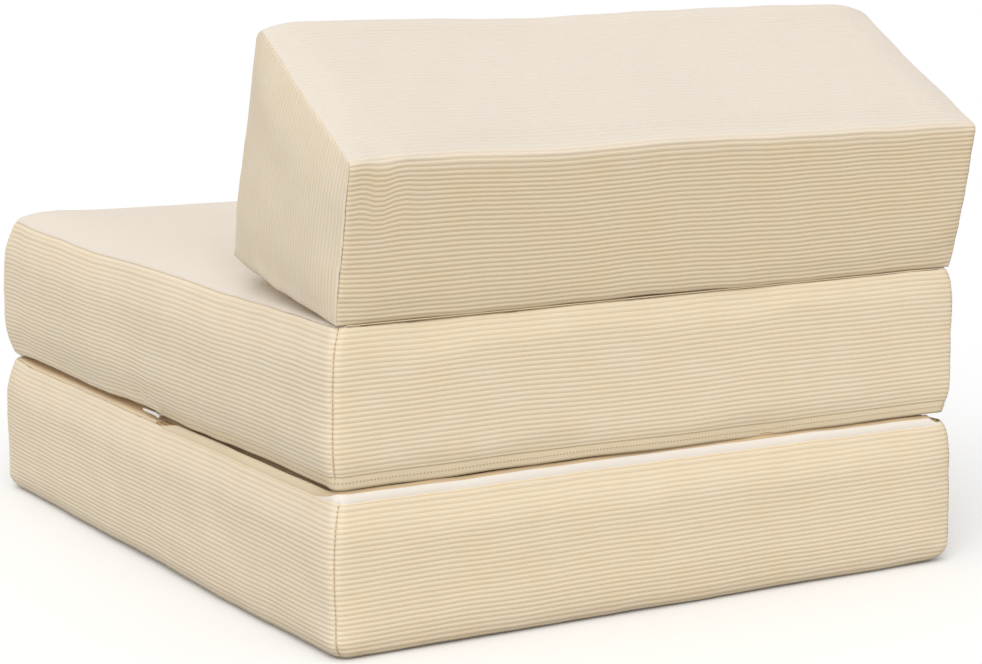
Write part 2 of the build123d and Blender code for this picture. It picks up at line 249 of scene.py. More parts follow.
class ZipSizes(bpy.types.PropertyGroup):
    """Zips, flaps and stitches"""

    tooth_pitch: length("Tooth Pitch", 3.2 * mm, "From one tooth of a row to the next")
    stitch_pitch: length("Stitch Pitch", 4.8 * mm, "From one stitch of a corner seam to the next")
    flap_stitch_pitch: length("Flap Stitch Pitch", 4.2 * mm, "The same along the seat's flap")
    recess: length("Flap Recess", 2.8 * mm, "How far a wall draws in behind its zip flap")
    plastic_colour: tint("Plastic Colour", (0.86, 0.84, 0.79), "The sliders, pulls and stops")
    # Painted shade: the teeth are brown so that the gap between the blocks looks brown in shade.
    chain_shade_colour: tint("Chain Shade Colour", (0.62, 0.41, 0.20), "The teeth, brown: painted shade for the gap between the blocks")


class StageSizes(bpy.types.PropertyGroup):
    """Floor, lights and camera"""

    focal_pixels: amount("Focal Length", 2694, "In pixels of the 982 wide picture")
    camera_place: FloatVectorProperty(
        name="Camera Place",
        description="Where the camera stands",
        default=(1.64019, 2.86878, 0.81732),
        size=3,
        subtype="TRANSLATION",
    )
    camera_heading: amount("Camera Heading", -120.62, "Which way the camera looks, in degrees")
    camera_dip: amount("Camera Dip", 8.61, "How far the camera looks down, in degrees")
    camera_shift: amount("Camera Shift", -0.0611, "Upward shift, as a share of the width")
    sky: amount("Sky", 0.57, "Strength of the even light")
    key: amount("Key Light", 0.6, "Strength of the light overhead")
    fill: amount("Fill Light", 1.6, "Strength of the light behind")


class SofaSettings(bpy.types.PropertyGroup):
    """Everything a user may change"""

    cushion: PointerProperty(type=CushionSizes)
    corduroy: PointerProperty(type=CorduroySizes)
    zips: PointerProperty(type=ZipSizes)
    stage: PointerProperty(type=StageSizes)


class Term:
    """A node's output that can be used in a sum."""

    def __init__(self, finish, socket):
        self.finish, self.socket = finish, socket

    def sum(self, operation, *terms):
        return self.finish.node("ShaderNodeMath", dict(enumerate(terms)), operation=operation)

    def __add__(self, other):
        return self.sum("ADD", self, other)

    def __sub__(self, other):
        return self.sum("SUBTRACT", self, other)

    def __rsub__(self, other):
        return self.sum("SUBTRACT", other, self)

    def __mul__(self, other):
        return self.sum("MULTIPLY", self, other)

    def __pow__(self, other):
        return self.sum("POWER", self, other)

    __radd__, __rmul__ = __add__, __mul__

    def sine(self):
        return self.sum("SINE", self)

    def clipped(self):
        return self.sum("MAXIMUM", self.sum("MINIMUM", self, 1), 0)


class Finish:
    """A node tree, and the material or world that it makes."""

    def __init__(self, tree, owner=None):
        self.tree, self.owner = tree, owner

    def node(self, kind, inputs=None, output=0, **settings):
        """Add a node: its settings first, then the values or links of its sockets."""
        node = self.tree.nodes.new(kind)
        for name, value in settings.items():
            setattr(node, name, value)
        for key, value in (inputs or {}).items():
            if isinstance(value, Term):
                self.tree.links.new(value.socket, node.inputs[key])
            else:
                colour = node.inputs[key].type == "RGBA"
                node.inputs[key].default_value = (*value, 1) if colour else value
        return Term(self, node.outputs[output]) if node.outputs else node

    def place(self):
        """Object coordinates."""
        return self.node("ShaderNodeTexCoord", output="Object")

    def cloth(self):
        """Places along a thread, across the wales, and from the nearest seam."""
        return self.parts(self.node("ShaderNodeAttribute", output=1, attribute_name="cloth"))

    def parts(self, vector):
        """A vector's x, y and z."""
        return [self.node("ShaderNodeSeparateXYZ", {0: vector}, output=k) for k in range(3)]

    def mix(self, share, first, second, blend="MIX"):
        """Mix two colours."""
        inputs = {0: share, 6: first, 7: second}
        return self.node("ShaderNodeMix", inputs, 2, data_type="RGBA", blend_type=blend)

    def noise(self, vector, scale, detail=2, roughness=0.5):
        inputs = {"Vector": vector, "Scale": scale, "Detail": detail, "Roughness": roughness}
        return self.node("ShaderNodeTexNoise", inputs)

    def surface(self, colour, roughness, bump=None, **constants):
        """Finish with one shader; constants go on its own sockets."""
        inputs = {"Base Color": colour, "Roughness": roughness}
        if bump:
            height, distance = bump
            sockets = {"Height": height, "Distance": distance, "Strength": 1.0}
            inputs["Normal"] = self.node("ShaderNodeBump", sockets)
        for name, value in constants.items():
            inputs[name.replace("_", " ").title().replace("Ior", "IOR")] = value
        shader = self.node("ShaderNodeBsdfPrincipled", inputs)
        self.node("ShaderNodeOutputMaterial", {"Surface": shader})
        return self.owner


def settings():
    """The sofa's settings in this scene."""
    return bpy.context.scene.folding_sofa


def bare(owner):
    """The emptied node tree of a material or world."""
    owner.use_nodes = True
    owner.node_tree.nodes.clear()
    return Finish(owner.node_tree, owner)


def kept(make):
    """Make a material when its name is first asked for, and hand the same one out after that."""

    def finish(name, *choices):
        found = bpy.data.materials.get(name)
        return found or make(bare(bpy.data.materials.new(name)), *choices)

    return finish


@kept
def corduroy_finish(finish):
    """Ribbed pile: paler on the ribs, warmer in the valleys with partly painted shade, a faint
    cloudy nap, painted sheen, and painted shade in dark places and along the seams.
    """
    sizes = settings().corduroy
    place = finish.place()
    along, across, seam = finish.cloth()
    rib = (across.sum("FRACT", across) * np.pi).sine()
    threads = finish.node("ShaderNodeCombineXYZ", {0: along * 900, 1: across * 9, 2: 0.0})
    fibre = finish.noise(threads, 1.0, 3, 0.6)
    nap, cloud = finish.noise(place, 26, 4, 0.62), finish.noise(place, 5)
    depth = (rib**0.6 * 1.1 + fibre * 0.3 - 0.1).clipped()
    pile = finish.mix(depth, sizes.valley_colour_and_shade, sizes.rib_colour)
    warm = finish.mix((nap * 2.6 - 0.8).clipped() * 0.55, pile, (1.0, 0.93, 0.84), "MULTIPLY")
    soft = finish.mix(cloud * 0.35, warm, (1.0, 0.97, 0.93), "MULTIPLY")
    # Painted light on the cloth: above zero the painted sheen is mixed in, below zero the painted
    # shade.
    painted_sheen_and_shade = finish.node("ShaderNodeAttribute", output=2, attribute_name="painted_sheen_and_shade")
    deep_shade = finish.mix((0 - painted_sheen_and_shade).clipped(), soft, sizes.painted_shade_colour)
    laid = finish.mix(painted_sheen_and_shade * 0.8, deep_shade, sizes.painted_sheen_colour)
    # Painted shade along the seams, within about one and a half millimetres of them.
    colour = finish.mix((1 - seam * 650).clipped() * 0.5, laid, sizes.seam_shade_colour)
    constants = {"sheen_weight": 0.12, "sheen_roughness": 0.4, "specular_ior_level": 0.2}
    return finish.surface(colour, 0.86 + fibre * 0.12, (rib * 0.3 + fibre, 0.35 * mm), **constants)


@kept
def strip_finish(finish, painted_light=False):
    """Plain close weave of the flaps and hinge strips, with painted shade along the edge at a seam;
    the base's flap has instead a painted highlight at the rear, with painted shade along its upper
    edge under the seat.
    """
    sizes = settings().corduroy
    place = finish.place()
    along, across, _ = finish.cloth()
    warp, weft = 0.9 * mm, 0.8 * mm
    weave = (along * (2 * np.pi / warp)).sine() * (across * (2 * np.pi / weft)).sine()
    slub = finish.noise(place, 60, 4)
    height = weave * 0.3 + slub
    # Painted highlight where the base's rounded top edge catches light at the rear, and painted
    # shade above it under the seat.
    if painted_light:
        at_rear = ((finish.parts(place)[1] - 0.40) * 17).clipped()
        shaded = ((across + 2 * mm - at_rear * (13.4 * mm)) * 900).clipped()
        upper = finish.mix(at_rear, sizes.strip_colour, sizes.painted_shade_colour)
        colour = finish.mix(shaded, sizes.painted_highlight_colour, upper)
    else:
        # Painted shade along the edge where a strip starts at its seam.
        seam_shade = (1.3 - across * 600).clipped() * 0.7
        colour = finish.mix(seam_shade, sizes.strip_colour, sizes.seam_shade_colour)
    dark = finish.mix(1.0, colour, (0.9, 0.9, 0.9), "MULTIPLY")
    shade = finish.mix((height * 0.5 + 0.3).clipped() * 0.5, colour, dark)
    constants = {"sheen_weight": 0.1, "specular_ior_level": 0.25}
    return finish.surface(shade, 0.82 + slub * 0.1, (height, 0.12 * mm), **constants)


@kept
def woven_finish(finish, colour, scale):
    """Close woven tape or foam skin."""
    place = finish.place()
    inputs = {"Vector": place, "Scale": scale}
    threads = finish.node("ShaderNodeTexVoronoi", inputs, feature="F1")
    cloud = finish.noise(place, 18, 3)
    shade = finish.mix(
        (threads * 0.6 + cloud * 0.3).clipped(), colour, [0.82 * c for c in colour]
    )
    return finish.surface(shade, 0.8 + cloud * 0.12, (threads, 0.15 * mm), specular_ior_level=0.25)


@kept
def plastic_finish(finish, colour):
    """Moulded plastic of the zips, faintly flow marked and scuffed."""
    place = finish.place()
    flow, scuff = finish.noise(place, 240, 3), finish.noise(place, 900)
    colour = finish.mix(flow * 0.4, colour, [0.92 * c for c in colour])
    return finish.surface(colour, 0.34 + scuff * 0.22, (scuff, 0.02 * mm), specular_ior_level=0.5)


@kept
def thread_finish(finish):
    """Twisted sewing thread."""
    twist = finish.noise(finish.place(), 1400)
    colour = finish.mix(twist, (0.50, 0.36, 0.21), (0.34, 0.23, 0.12))
    return finish.surface(colour, 0.6 + twist * 0.2, (twist, 0.05 * mm), specular_ior_level=0.3)


def risen(share):
    """The rise of a soft shoulder, which leaves its seam steeply and ends level."""
    return 1 - (1 - np.clip(share, 0, 1)) ** 2


def meeting(first, second):
    """The smaller of two distances, rounded where they are alike."""
    first, second = np.maximum(first, 1e-6), np.maximum(second, 1e-6)
    return (first**-4.0 + second**-4.0) ** -0.25


def smooth(share):
    """An even step from 0 to 1."""
    share = np.clip(share, 0, 1)
    return share * share * (3 - 2 * share)


def everywhere(share):
    """The same share all over a panel."""
    return lambda s, t: np.full_like(s, share)


def distances(points):
    """How far along a line each of its points lies."""
    return np.concatenate([[0], np.cumsum(np.linalg.norm(np.diff(points, axis=0), axis=1))])


def hill(at, centre, reach):
    """A soft hill of height 1 round a centre."""
    return np.exp(-(((at - centre) / reach) ** 2))


def between(*corners):
    """Faces from the grids of their corners."""
    return np.stack([corner.ravel() for corner in corners], axis=1).tolist()


def grid_faces(n):
    """The faces of a grid of point numbers."""
    return between(n[:-1, :-1], n[1:, :-1], n[1:, 1:], n[:-1, 1:])


def rounded_square(x, y):
    """Draw the corners of a flat panel in to the round that the walls have."""
    start = np.array((half_width, half_depth)) - corner_round
    u, v = np.maximum(abs(x) - start[0], 0), np.maximum(abs(y) - start[1], 0)
    larger = np.maximum(np.maximum(u, v), 1e-9)
    turn = np.where(u >= v, v / larger, 2 - u / larger) * np.pi / 4
    inside = (u > 0) & (v > 0)
    new_x = np.sign(x) * (start[0] + larger * np.cos(turn))
    new_y = np.sign(y) * (start[1] + larger * np.sin(turn))
    return np.where(inside, new_x, x), np.where(inside, new_y, y)


def pushed(points, pushes):
    """Move points near some places: each centre and reach is in metres, and its move in mm."""
    for centre, reach, move in pushes:
        away = np.sum(((points - np.array(centre)) / np.array(reach)) ** 2, axis=-1)
        points = points + np.exp(-away)[..., None] * np.array(move) * mm
    return points


def waves(place, lengths, seed):
    """An uneven ripple along a line, between about -1 and 1."""
    draw = np.random.default_rng(seed)
    total = np.zeros_like(place)
    for length in lengths:
        turn, size = draw.uniform(0, 2 * np.pi), draw.uniform(0.7, 1.3)
        total += size * np.sin(2 * np.pi * place / length + turn)
    return total / len(lengths)


def drift(points, amount, seed, length=0.22):
    """A slow push of points in space, the same on both sides of any seam."""
    draw = np.random.default_rng(seed)
    push = np.zeros_like(points)
    for size, share in ((1.0, 1.0), (0.32, 0.4)):
        for _ in range(9):
            way = draw.normal(size=3)
            way /= np.linalg.norm(way) * length * size * draw.uniform(0.5, 1.4)
            turn = draw.uniform(0, 2 * np.pi)
            push += share * draw.normal(size=3) * np.sin(points @ way * 2 * np.pi + turn)[..., None]
    return amount * push / 3


class Panel:
    """One cut piece of a cover. place(s, t) puts its shares along and across the wales in space."""

    def __init__(self, place, along, across, **more):
        self.place, self.along, self.across = place, along, across
        self.fine, self.height, self.droop = 1.0, 1.0, 0.0
        # Of these shares, the second is painted light: painted sheen above zero, painted shade
        # below zero.
        self.flap = self.painted_light = self.soft = everywhere(0.0)
        self.bends, self.planes, self.shift = (), (), None
        vars(self).update(more)

    def laid(self, s, t):
        """The panel's surface with the simulated shift, before its seams and wales."""
        points = self.place(s, t)
        if self.shift is not None:
            points = points + sampled(self.shift, s, t)
        return held_back(points, self.planes)


def held_back(points, planes, blend=2 * mm):
    """Keep points on their own side of the planes that two cushions fold together on."""
    for way, reach in planes:
        over = points @ np.array(way)
        room = reach - over
        held = reach - (room + np.sqrt(room**2 + blend**2)) / 2
        points = points + (held - over)[..., None] * np.array(way)
    return points


def sampled(grid, s, t):
    """A coarse even grid read between its points, on a smooth curve both ways."""

    def weights(share, count):
        at = np.clip(share, 0, 1) * (count - 1)
        low = np.clip(np.floor(at).astype(int), 0, count - 2)
        f = at - low
        factors = (
            -0.5 * f + f**2 - 0.5 * f**3,
            1 - 2.5 * f**2 + 1.5 * f**3,
            0.5 * f + 2 * f**2 - 1.5 * f**3,
            -0.5 * f**2 + 0.5 * f**3,
        )
        return [(np.clip(low + k - 1, 0, count - 1), factor) for k, factor in enumerate(factors)]

    total = 0
    for row, row_factor in weights(s, grid.shape[0]):
        for column, column_factor in weights(t, grid.shape[1]):
            total = total + grid[row, column] * (row_factor * column_factor)[..., None]
    return total


def across_normal(points):
    """Unit normals of a grid of points."""
    normal = np.cross(np.gradient(points, axis=0), np.gradient(points, axis=1))
    return normal / np.maximum(np.linalg.norm(normal, axis=-1, keepdims=True), 1e-12)


def seam_spaced(length, step):
    """Shares of a panel's length, closer together beside its seams."""
    near = seam_steps
    count = max(2, round((length - 2 * near[-1]) / step) + 1)
    middle = np.linspace(near[-1], length - near[-1], count)
    return np.concatenate([near[:-1], middle, (length - near[:-1])[::-1]]) / length


def wale_spaced(length, pitch, rows):
    """Shares of a panel's breadth, some rows to each wale, and the wale that each lies on."""
    count = round(length / pitch)
    wale = np.arange(count * rows + 1) / rows
    inset = seam_steps[0] / length
    return inset + (1 - 2 * inset) * wale / count, wale


def panel_mesh(panel, step, rows=wale_rows, seed=0):
    """The sewn panel's points and what its cloth needs: its thread, wale and distance to a seam."""
    cushion, corduroy = settings().cushion, settings().corduroy
    s_line = seam_spaced(panel.along, step)
    t_line, wale_line = wale_spaced(panel.across, corduroy.pitch * panel.fine, rows)
    s, t = np.meshgrid(s_line, t_line, indexing="ij")
    wale = np.broadcast_to(wale_line, s.shape)
    from_start, from_end = s * panel.along, (1 - s) * panel.along
    edge_s, edge_t = np.minimum(from_start, from_end), np.minimum(t, 1 - t) * panel.across
    sag = np.exp(-from_start / sag_reach) + np.exp(-from_end / sag_reach)
    wander = waves(from_start, (0.31, 0.17), seed + 5) * 0.5 * mm
    moved = (wander - panel.droop * sag) * np.sin(np.pi * t) ** 0.7
    for s_at, t_at, s_reach, t_reach, amount in panel.bends:
        moved = moved + amount * mm * hill(s, s_at, s_reach) * hill(t, t_at, t_reach)
    surface = panel.laid(s, t + moved / panel.across)

    seam = np.minimum(edge_s, edge_t)
    pucker = waves(t * panel.across, gathers, seed + 1) * np.exp(-edge_s / gathers[0])
    pucker += waves(from_start, gathers, seed + 2) * np.exp(-edge_t / gathers[0])
    relief = cushion.pucker * pucker * (1 - hill(seam, 0, 2 * mm))
    soft = panel.soft(s, t)
    tight = 1 - 0.8 * soft
    relief -= cushion.groove * tight * hill(seam, 0, 1.6 * mm)
    relief += cushion.roll * tight * hill(seam, 7 * mm, 4 * mm)
    covered = panel.flap(s, t)
    relief -= settings().zips.recess * covered
    ribbed = (0.2 + 0.8 * smooth(seam / (2.6 * mm))) * (1 - covered)
    rib = np.sin(np.pi * (wale % 1)) ** 0.7
    relief += corduroy.height * panel.height * (rib - 0.6) * ribbed
    points = surface + across_normal(surface) * relief[..., None]
    # The distance to a seam sets the painted shade along the seams; a soft seam gets less of it.
    cloth = np.stack([from_start, wale, seam + 0.8 * mm * soft], axis=-1)
    return points, cloth, panel.painted_light(s, t)


class Sewing:
    """Gathers panels into one closed mesh, joining their edges with narrow seams."""

    def __init__(self):
        self.points, self.cloth, self.painted_light, self.faces, self.count = [], [], [], [], 0

    def add(self, points, cloth, painted_light):
        """Add a panel's grid, and return the numbers of its points."""
        numbers = self.count + np.arange(painted_light.size).reshape(painted_light.shape)
        self.points.append(points.reshape(-1, 3))
        self.cloth.append(cloth.reshape(-1, 3))
        self.painted_light.append(painted_light.ravel())
        self.faces += grid_faces(numbers)
        self.count += painted_light.size
        return numbers

    def seam(self, low, high):
        """Join two edges that run the same way, however many points each has."""
        everything = np.concatenate(self.points)
        runs = [distances(everything[edge]) for edge in (low, high)]
        low_share, high_share = (run / run[-1] for run in runs)
        i = j = 0
        last_i, last_j = len(low) - 1, len(high) - 1
        while i < last_i or j < last_j:
            first = j == last_j or (i < last_i and low_share[i + 1] <= high_share[j + 1])
            third = low[i + 1] if first else high[j + 1]
            self.corner(low[i], third, high[j])
            i, j = i + first, j + (not first)

    def corner(self, *numbers):
        """Add one triangle, such as the small gap where three panels meet."""
        self.faces.append([int(n) for n in numbers])

    def cover(self, block, panels):
        """Make the closed cover of a block, with its faces outward."""
        points = np.concatenate(self.points)
        name = f"{block}_cushion"
        cover = mesh_object(name, points, self.faces, corduroy_finish("corduroy_pile"))
        store(cover, "cloth", "FLOAT_VECTOR", np.concatenate(self.cloth))
        # The share of painted sheen, and below zero of painted shade, at each point.
        store(cover, "painted_sheen_and_shade", "FLOAT", np.concatenate(self.painted_light))
        tell(cover, block, "corduroy", *(f"{block}_{panel}_panel" for panel in panels))


def placed(name, data):
    """Put a new object at the scene's origin."""
    made = bpy.data.objects.new(name, data)
    bpy.context.scene.collection.objects.link(made)
    return made


def tell(piece, body, slot, *replaced):
    """Tell the frame which body carries a piece and what it stands for; the slot is not used."""
    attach(piece, body)
    if replaced:
        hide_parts(*replaced)


def mesh_object(name, points, faces, material=None, smooth_faces=True):
    """A mesh object at the origin with outward faces."""
    mesh = bpy.data.meshes.new(name)
    mesh.from_pydata(np.asarray(points).tolist(), [], faces)
    shape = bmesh.new()
    shape.from_mesh(mesh)
    bmesh.ops.recalc_face_normals(shape, faces=shape.faces)
    shape.to_mesh(mesh)
    shape.free()
    mesh.polygons.foreach_set("use_smooth", [smooth_faces] * len(mesh.polygons))
    if material:
        mesh.materials.append(material)
    return placed(name, mesh)


def store(made, name, kind, values):
    """Keep a value for each point of a mesh, such as its place on the cloth."""
    attribute = made.data.attributes.new(name, kind, "POINT")
    key = "vector" if kind == "FLOAT_VECTOR" else "value"
    attribute.data.foreach_set(key, np.asarray(values, np.float32).ravel())


def coarse_cover(panels, counts):
    """A coarse closed copy of the sewn cover: places, faces, and each panel's points in it."""
    grids, points, faces, start = {}, [], [], 0
    for name, panel in panels.items():
        n, m = counts[name]
        s, t = np.meshgrid(np.linspace(0, 1, n), np.linspace(0, 1, m), indexing="ij")
        grids[name] = start + np.arange(n * m).reshape(n, m)
        points.append(panel.laid(s, t).reshape(-1, 3))
        faces += grid_faces(grids[name])
        start += n * m
    points = np.concatenate(points)
    keys = {}
    merged = np.array([keys.setdefault(tuple(p), len(keys)) for p in np.round(points, 5).tolist()])
    places = np.zeros((len(keys), 3))
    places[merged] = points
    faces = [[int(merged[v]) for v in face] for face in faces]
    return places, [face for face in faces if len(set(face)) > 2], grids, merged


def simulate(panels, counts, rests):
    """Fill a coarse copy of the sewn cover with pressure, and keep how each panel's points moved.

    Seams stay where they are, and so does a panel behind the y from which it rests on something.
    """
    cushion, scene = settings().cushion, bpy.context.scene
    places, faces, grids, merged = coarse_cover(panels, counts)
    cover = mesh_object("filling_cover", places, faces)
    still = [edge for n in grids.values() for edge in (n[0], n[-1], n[:, 0], n[:, -1])]
    for name, start in rests.items():
        still.append(grids[name][places[merged[grids[name]], 1] > start])
    sewn = cover.vertex_groups.new(name="seams")
    sewn.add(np.unique(merged[np.concatenate(still)]).tolist(), 1.0, "REPLACE")
    cloth = cover.modifiers.new("fill", "CLOTH").settings
    cloth.vertex_group_mass = sewn.name
    cloth.use_pressure = True
    cloth.uniform_pressure_force = cushion.pressure
    cloth.effector_weights.gravity = 0
    cloth.tension_stiffness = cloth.compression_stiffness = 30
    cloth.bending_stiffness = 4
    cloth.mass = 0.3
    for number in range(1, fill_frames + 1):
        scene.frame_set(number)
    evaluated = cover.evaluated_get(bpy.context.evaluated_depsgraph_get())
    filled = np.zeros(len(places) * 3, np.float32)
    evaluated.data.vertices.foreach_get("co", filled)
    push = filled.reshape(-1, 3).astype(float) - places
    size = np.linalg.norm(push, axis=1, keepdims=True)
    push *= cushion.give * np.tanh(size / cushion.give) / np.maximum(size, 1e-9)
    scene.frame_set(1)
    bpy.data.objects.remove(cover)
    for name, numbers in grids.items():
        panels[name].shift = push[merged[numbers]]


def block_panels(block):
    """The six panels of the base or the seat."""
    cushion, seat = settings().cushion, block == "seat"
    low, high = seams[block]
    foot = cushion.shoulder if seat else base_foot

    def settled(points):
        """Uneven foam, and the front seams that are drawn together at the fold."""
        points = pushed(points + drift(points, cushion.rumple, seeds[block][0]), moves[block])
        share = np.clip((points[..., 2] - low) / (high - low), 0, 1)
        near = smooth((front_draw - half_depth - points[..., 1]) / front_draw)
        points[..., 2] += near * (-2.0 * (1 - share) ** 6 if seat else 5.0 * share**6) * mm
        return points

    def wall(name):
        run, face = (np.array(way, float) for way in walls[name])
        half, reach = (abs(way @ (half_width, half_depth, 0)) for way in (run, face))
        beside = [order[(order.index(name) + k) % 4] for k in (-1, 1)]
        rounds = [front_round if "front" in (name, other) else middle_round for other in beside]

        def place(s, t):
            z = low + (high - low) * t
            share = risen(np.minimum((z - low) / foot, (high - z) / cushion.shoulder))
            swell = cushion.bulge * share
            first, last = (half + swell * swells[block][other] for other in beside)
            a = s * (first + last) - first
            belly = cushion.belly * (name != "front") * (1 - (2 * s - 1) ** 2) * share
            radius = corner_round + (np.where(a > 0, *rounds[::-1]) - corner_round) * share
            near = np.where(a > 0, last - a, a + first)
            turn = np.pi / 4 * np.clip(1 - near / radius, 0, 1)
            end = np.where(a > 0, last, first) - radius * (1 - np.sin(turn))
            a = np.where(turn > 0, np.sign(a) * end, a)
            out = reach + swell * swells[block][name] - radius * (1 - np.cos(turn)) + belly
            flat = run * a[..., None] + face * out[..., None]
            return settled(flat + np.array((0, 0, 1.0)) * z[..., None])

        return place

    def level(high_side):
        sign = 1 if high_side else -1
        seam, crown = seams[block][high_side], sign * domes[block][high_side]
        seat_top = seat and high_side
        reach = seat_top_reach if seat_top else cushion.dome_reach if seat or high_side else foot

        def place(s, t):
            x, y = sign * (2 * s - 1) * half_width, (2 * t - 1) * half_depth
            behind = (half_depth - y) * (reach / seat_rear_reach if seat_top else 1)
            inset = meeting(half_width - abs(x), np.minimum(half_depth + y, behind))
            rise = risen(inset / reach)
            full = crown + seat_fullness * seat_top * smooth((0.40 - y) / 0.16)
            points = np.stack([*rounded_square(x, y), seam + full * rise], axis=-1)
            laid = settled(points)
            if seat_top:
                return laid
            level_z = points[..., 2] * rise + laid[..., 2] * (1 - rise)
            laid[..., 2] = np.where(rise > 0, level_z, laid[..., 2])
            if seat or high_side:
                laid[..., 2] -= sign * level_sink * rise
                inset = np.minimum(half_width - abs(x), half_depth - y)
                share = smooth((margin - inset) / (1.5 * mm)) * smooth(inset / (1 * mm))
                share = share * smooth((y + 6 * mm) / (6 * mm))
                laid[..., 2] += (seam - sign * margin_sink - laid[..., 2]) * share
            return laid

        return place

    def behind_flap(name):
        flap_low = low - 3 * mm if seat else high - 4.4 * mm
        flap_high = low + 14 * mm if seat else high + 3 * mm
        forward = {"left": -1, "right": 1}.get(name)

        def covered(s, t):
            z = low + (high - low) * t
            inside = smooth((z - flap_low) / (2 * mm)) * smooth((flap_high - z) / (2 * mm))
            if forward is None:
                return inside * (name == "rear")
            return inside * smooth((forward * (1 - 2 * s) * half_depth - flap_start) / (14 * mm))

        return covered

    def painted_sheen_and_shade(s, t):
        """Painted light on a top: painted sheen, less of it under the wedge on the seat; on the
        base, painted shade in a ring near the edge, which shows in the gap under the seat.
        """
        x, y = (2 * s - 1) * half_width, (2 * t - 1) * half_depth
        if seat:
            return 1 - 0.45 * smooth((y - wedge_covers) / 0.12) * smooth((0.398 - abs(x)) / 0.05)
        inset = np.minimum(half_width - abs(x), half_depth - abs(y))
        return smooth((inset - 18 * mm) / (26 * mm)) * 1.3 - 0.8 * smooth(inset / (11 * mm))

    panels = {}
    for name in order:
        breadth = 2 * abs(np.array(walls[name][0]) @ (half_width, half_depth, 0))
        panels[name] = Panel(wall(name), breadth, high - low, flap=behind_flap(name), height=0.8)
        panels[name].droop = settings().corduroy.droop
    # A little painted sheen on the sides.
    panels["left"].painted_light = panels["right"].painted_light = everywhere(0.2)
    size = 2 * half_width, 2 * half_depth
    panels["bottom"] = Panel(level(False), *size)
    panels["top"] = Panel(level(True), *size, painted_light=painted_sheen_and_shade)
    if seat:
        panels["left"].bends = seat_left_bends
        panels["rear"].soft = lambda s, t: 0.7 * smooth((t - 0.90) / 0.06)
        panels["top"].soft = lambda s, t: 0.7 * smooth((t - 0.97) / 0.02)
    for panel in panels.values():
        panel.planes = fold_planes[block]
    simulate(panels, foam_counts[block], {"bottom": -1, "top": 0.2 if seat else -1})
    return panels


def sew_block(block):
    """Sew a block's six panels into one closed cover, and return them."""
    panels, sewing, numbers = block_panels(block), Sewing(), {}
    for k, (name, panel) in enumerate(panels.items()):
        step = {"bottom": 30 * mm, "top": 20 * mm}.get(name, 15 * mm)
        rows = 3 if name == "bottom" else wale_rows
        grid = panel_mesh(panel, step, rows, seeds[block][1] + 10 * k)
        grid[0][..., 2] = np.maximum(grid[0][..., 2], 0.2 * mm)
        numbers[name] = sewing.add(*grid)
    top, bottom = numbers["top"], numbers["bottom"]
    top_edges = (top[:, 0], top[-1, :], top[::-1, -1], top[0, ::-1])
    bottom_edges = (bottom[::-1, 0], bottom[0, :], bottom[:, -1], bottom[-1, ::-1])
    for k, name in enumerate(order):
        wall, following = numbers[name], numbers[order[(k + 1) % 4]]
        sewing.seam(wall[:, -1], top_edges[k])
        sewing.seam(bottom_edges[k], wall[:, 0])
        sewing.seam(following[0, :], wall[-1, :])
        sewing.corner(wall[-1, -1], following[0, -1], top_edges[k][-1])
        sewing.corner(wall[-1, 0], bottom_edges[k][-1], following[0, 0])
    sewing.cover(block, panels)
    return panels


def wedge_section():
    """The wedge's outline from its rear foot over its top to its front foot, corners rounded."""
    points = [wedge_outline[0]]
    for k, radius in enumerate(wedge_rounds, 1):
        corner = wedge_outline[k]
        back, on = (way / np.linalg.norm(way) for way in wedge_outline[[k - 1, k + 1]] - corner)
        half = np.arccos(np.clip(back @ on, -1, 1)) / 2
        middle = back + on
        centre = corner + middle / np.linalg.norm(middle) * radius / np.sin(half)
        first, last = (corner + way * radius / np.tan(half) - centre for way in (back, on))
        start = np.arctan2(first[1], first[0])
        turn = (np.arctan2(last[1], last[0]) - start + np.pi) % (2 * np.pi) - np.pi
        angles = start + turn * np.linspace(0, 1, 13)
        points += list(centre + radius * np.stack([np.cos(angles), np.sin(angles)], axis=1))
    points = np.array([*points, wedge_outline[3]])
    run = distances(points)
    return points, run / run[-1], run[-1], run[[7, 20]] / run[-1]


def from_wedge(points):
    """Turn points of the wedge's own section, with x across, into the sofa's frame."""
    y, z = points[..., 1], points[..., 2]
    cos, sin = np.cos(lean), np.sin(lean)
    turned = (points[..., 0], rear_axis[1] + y * cos + z * sin, rear_axis[2] - y * sin + z * cos)
    return np.stack(turned, axis=-1)


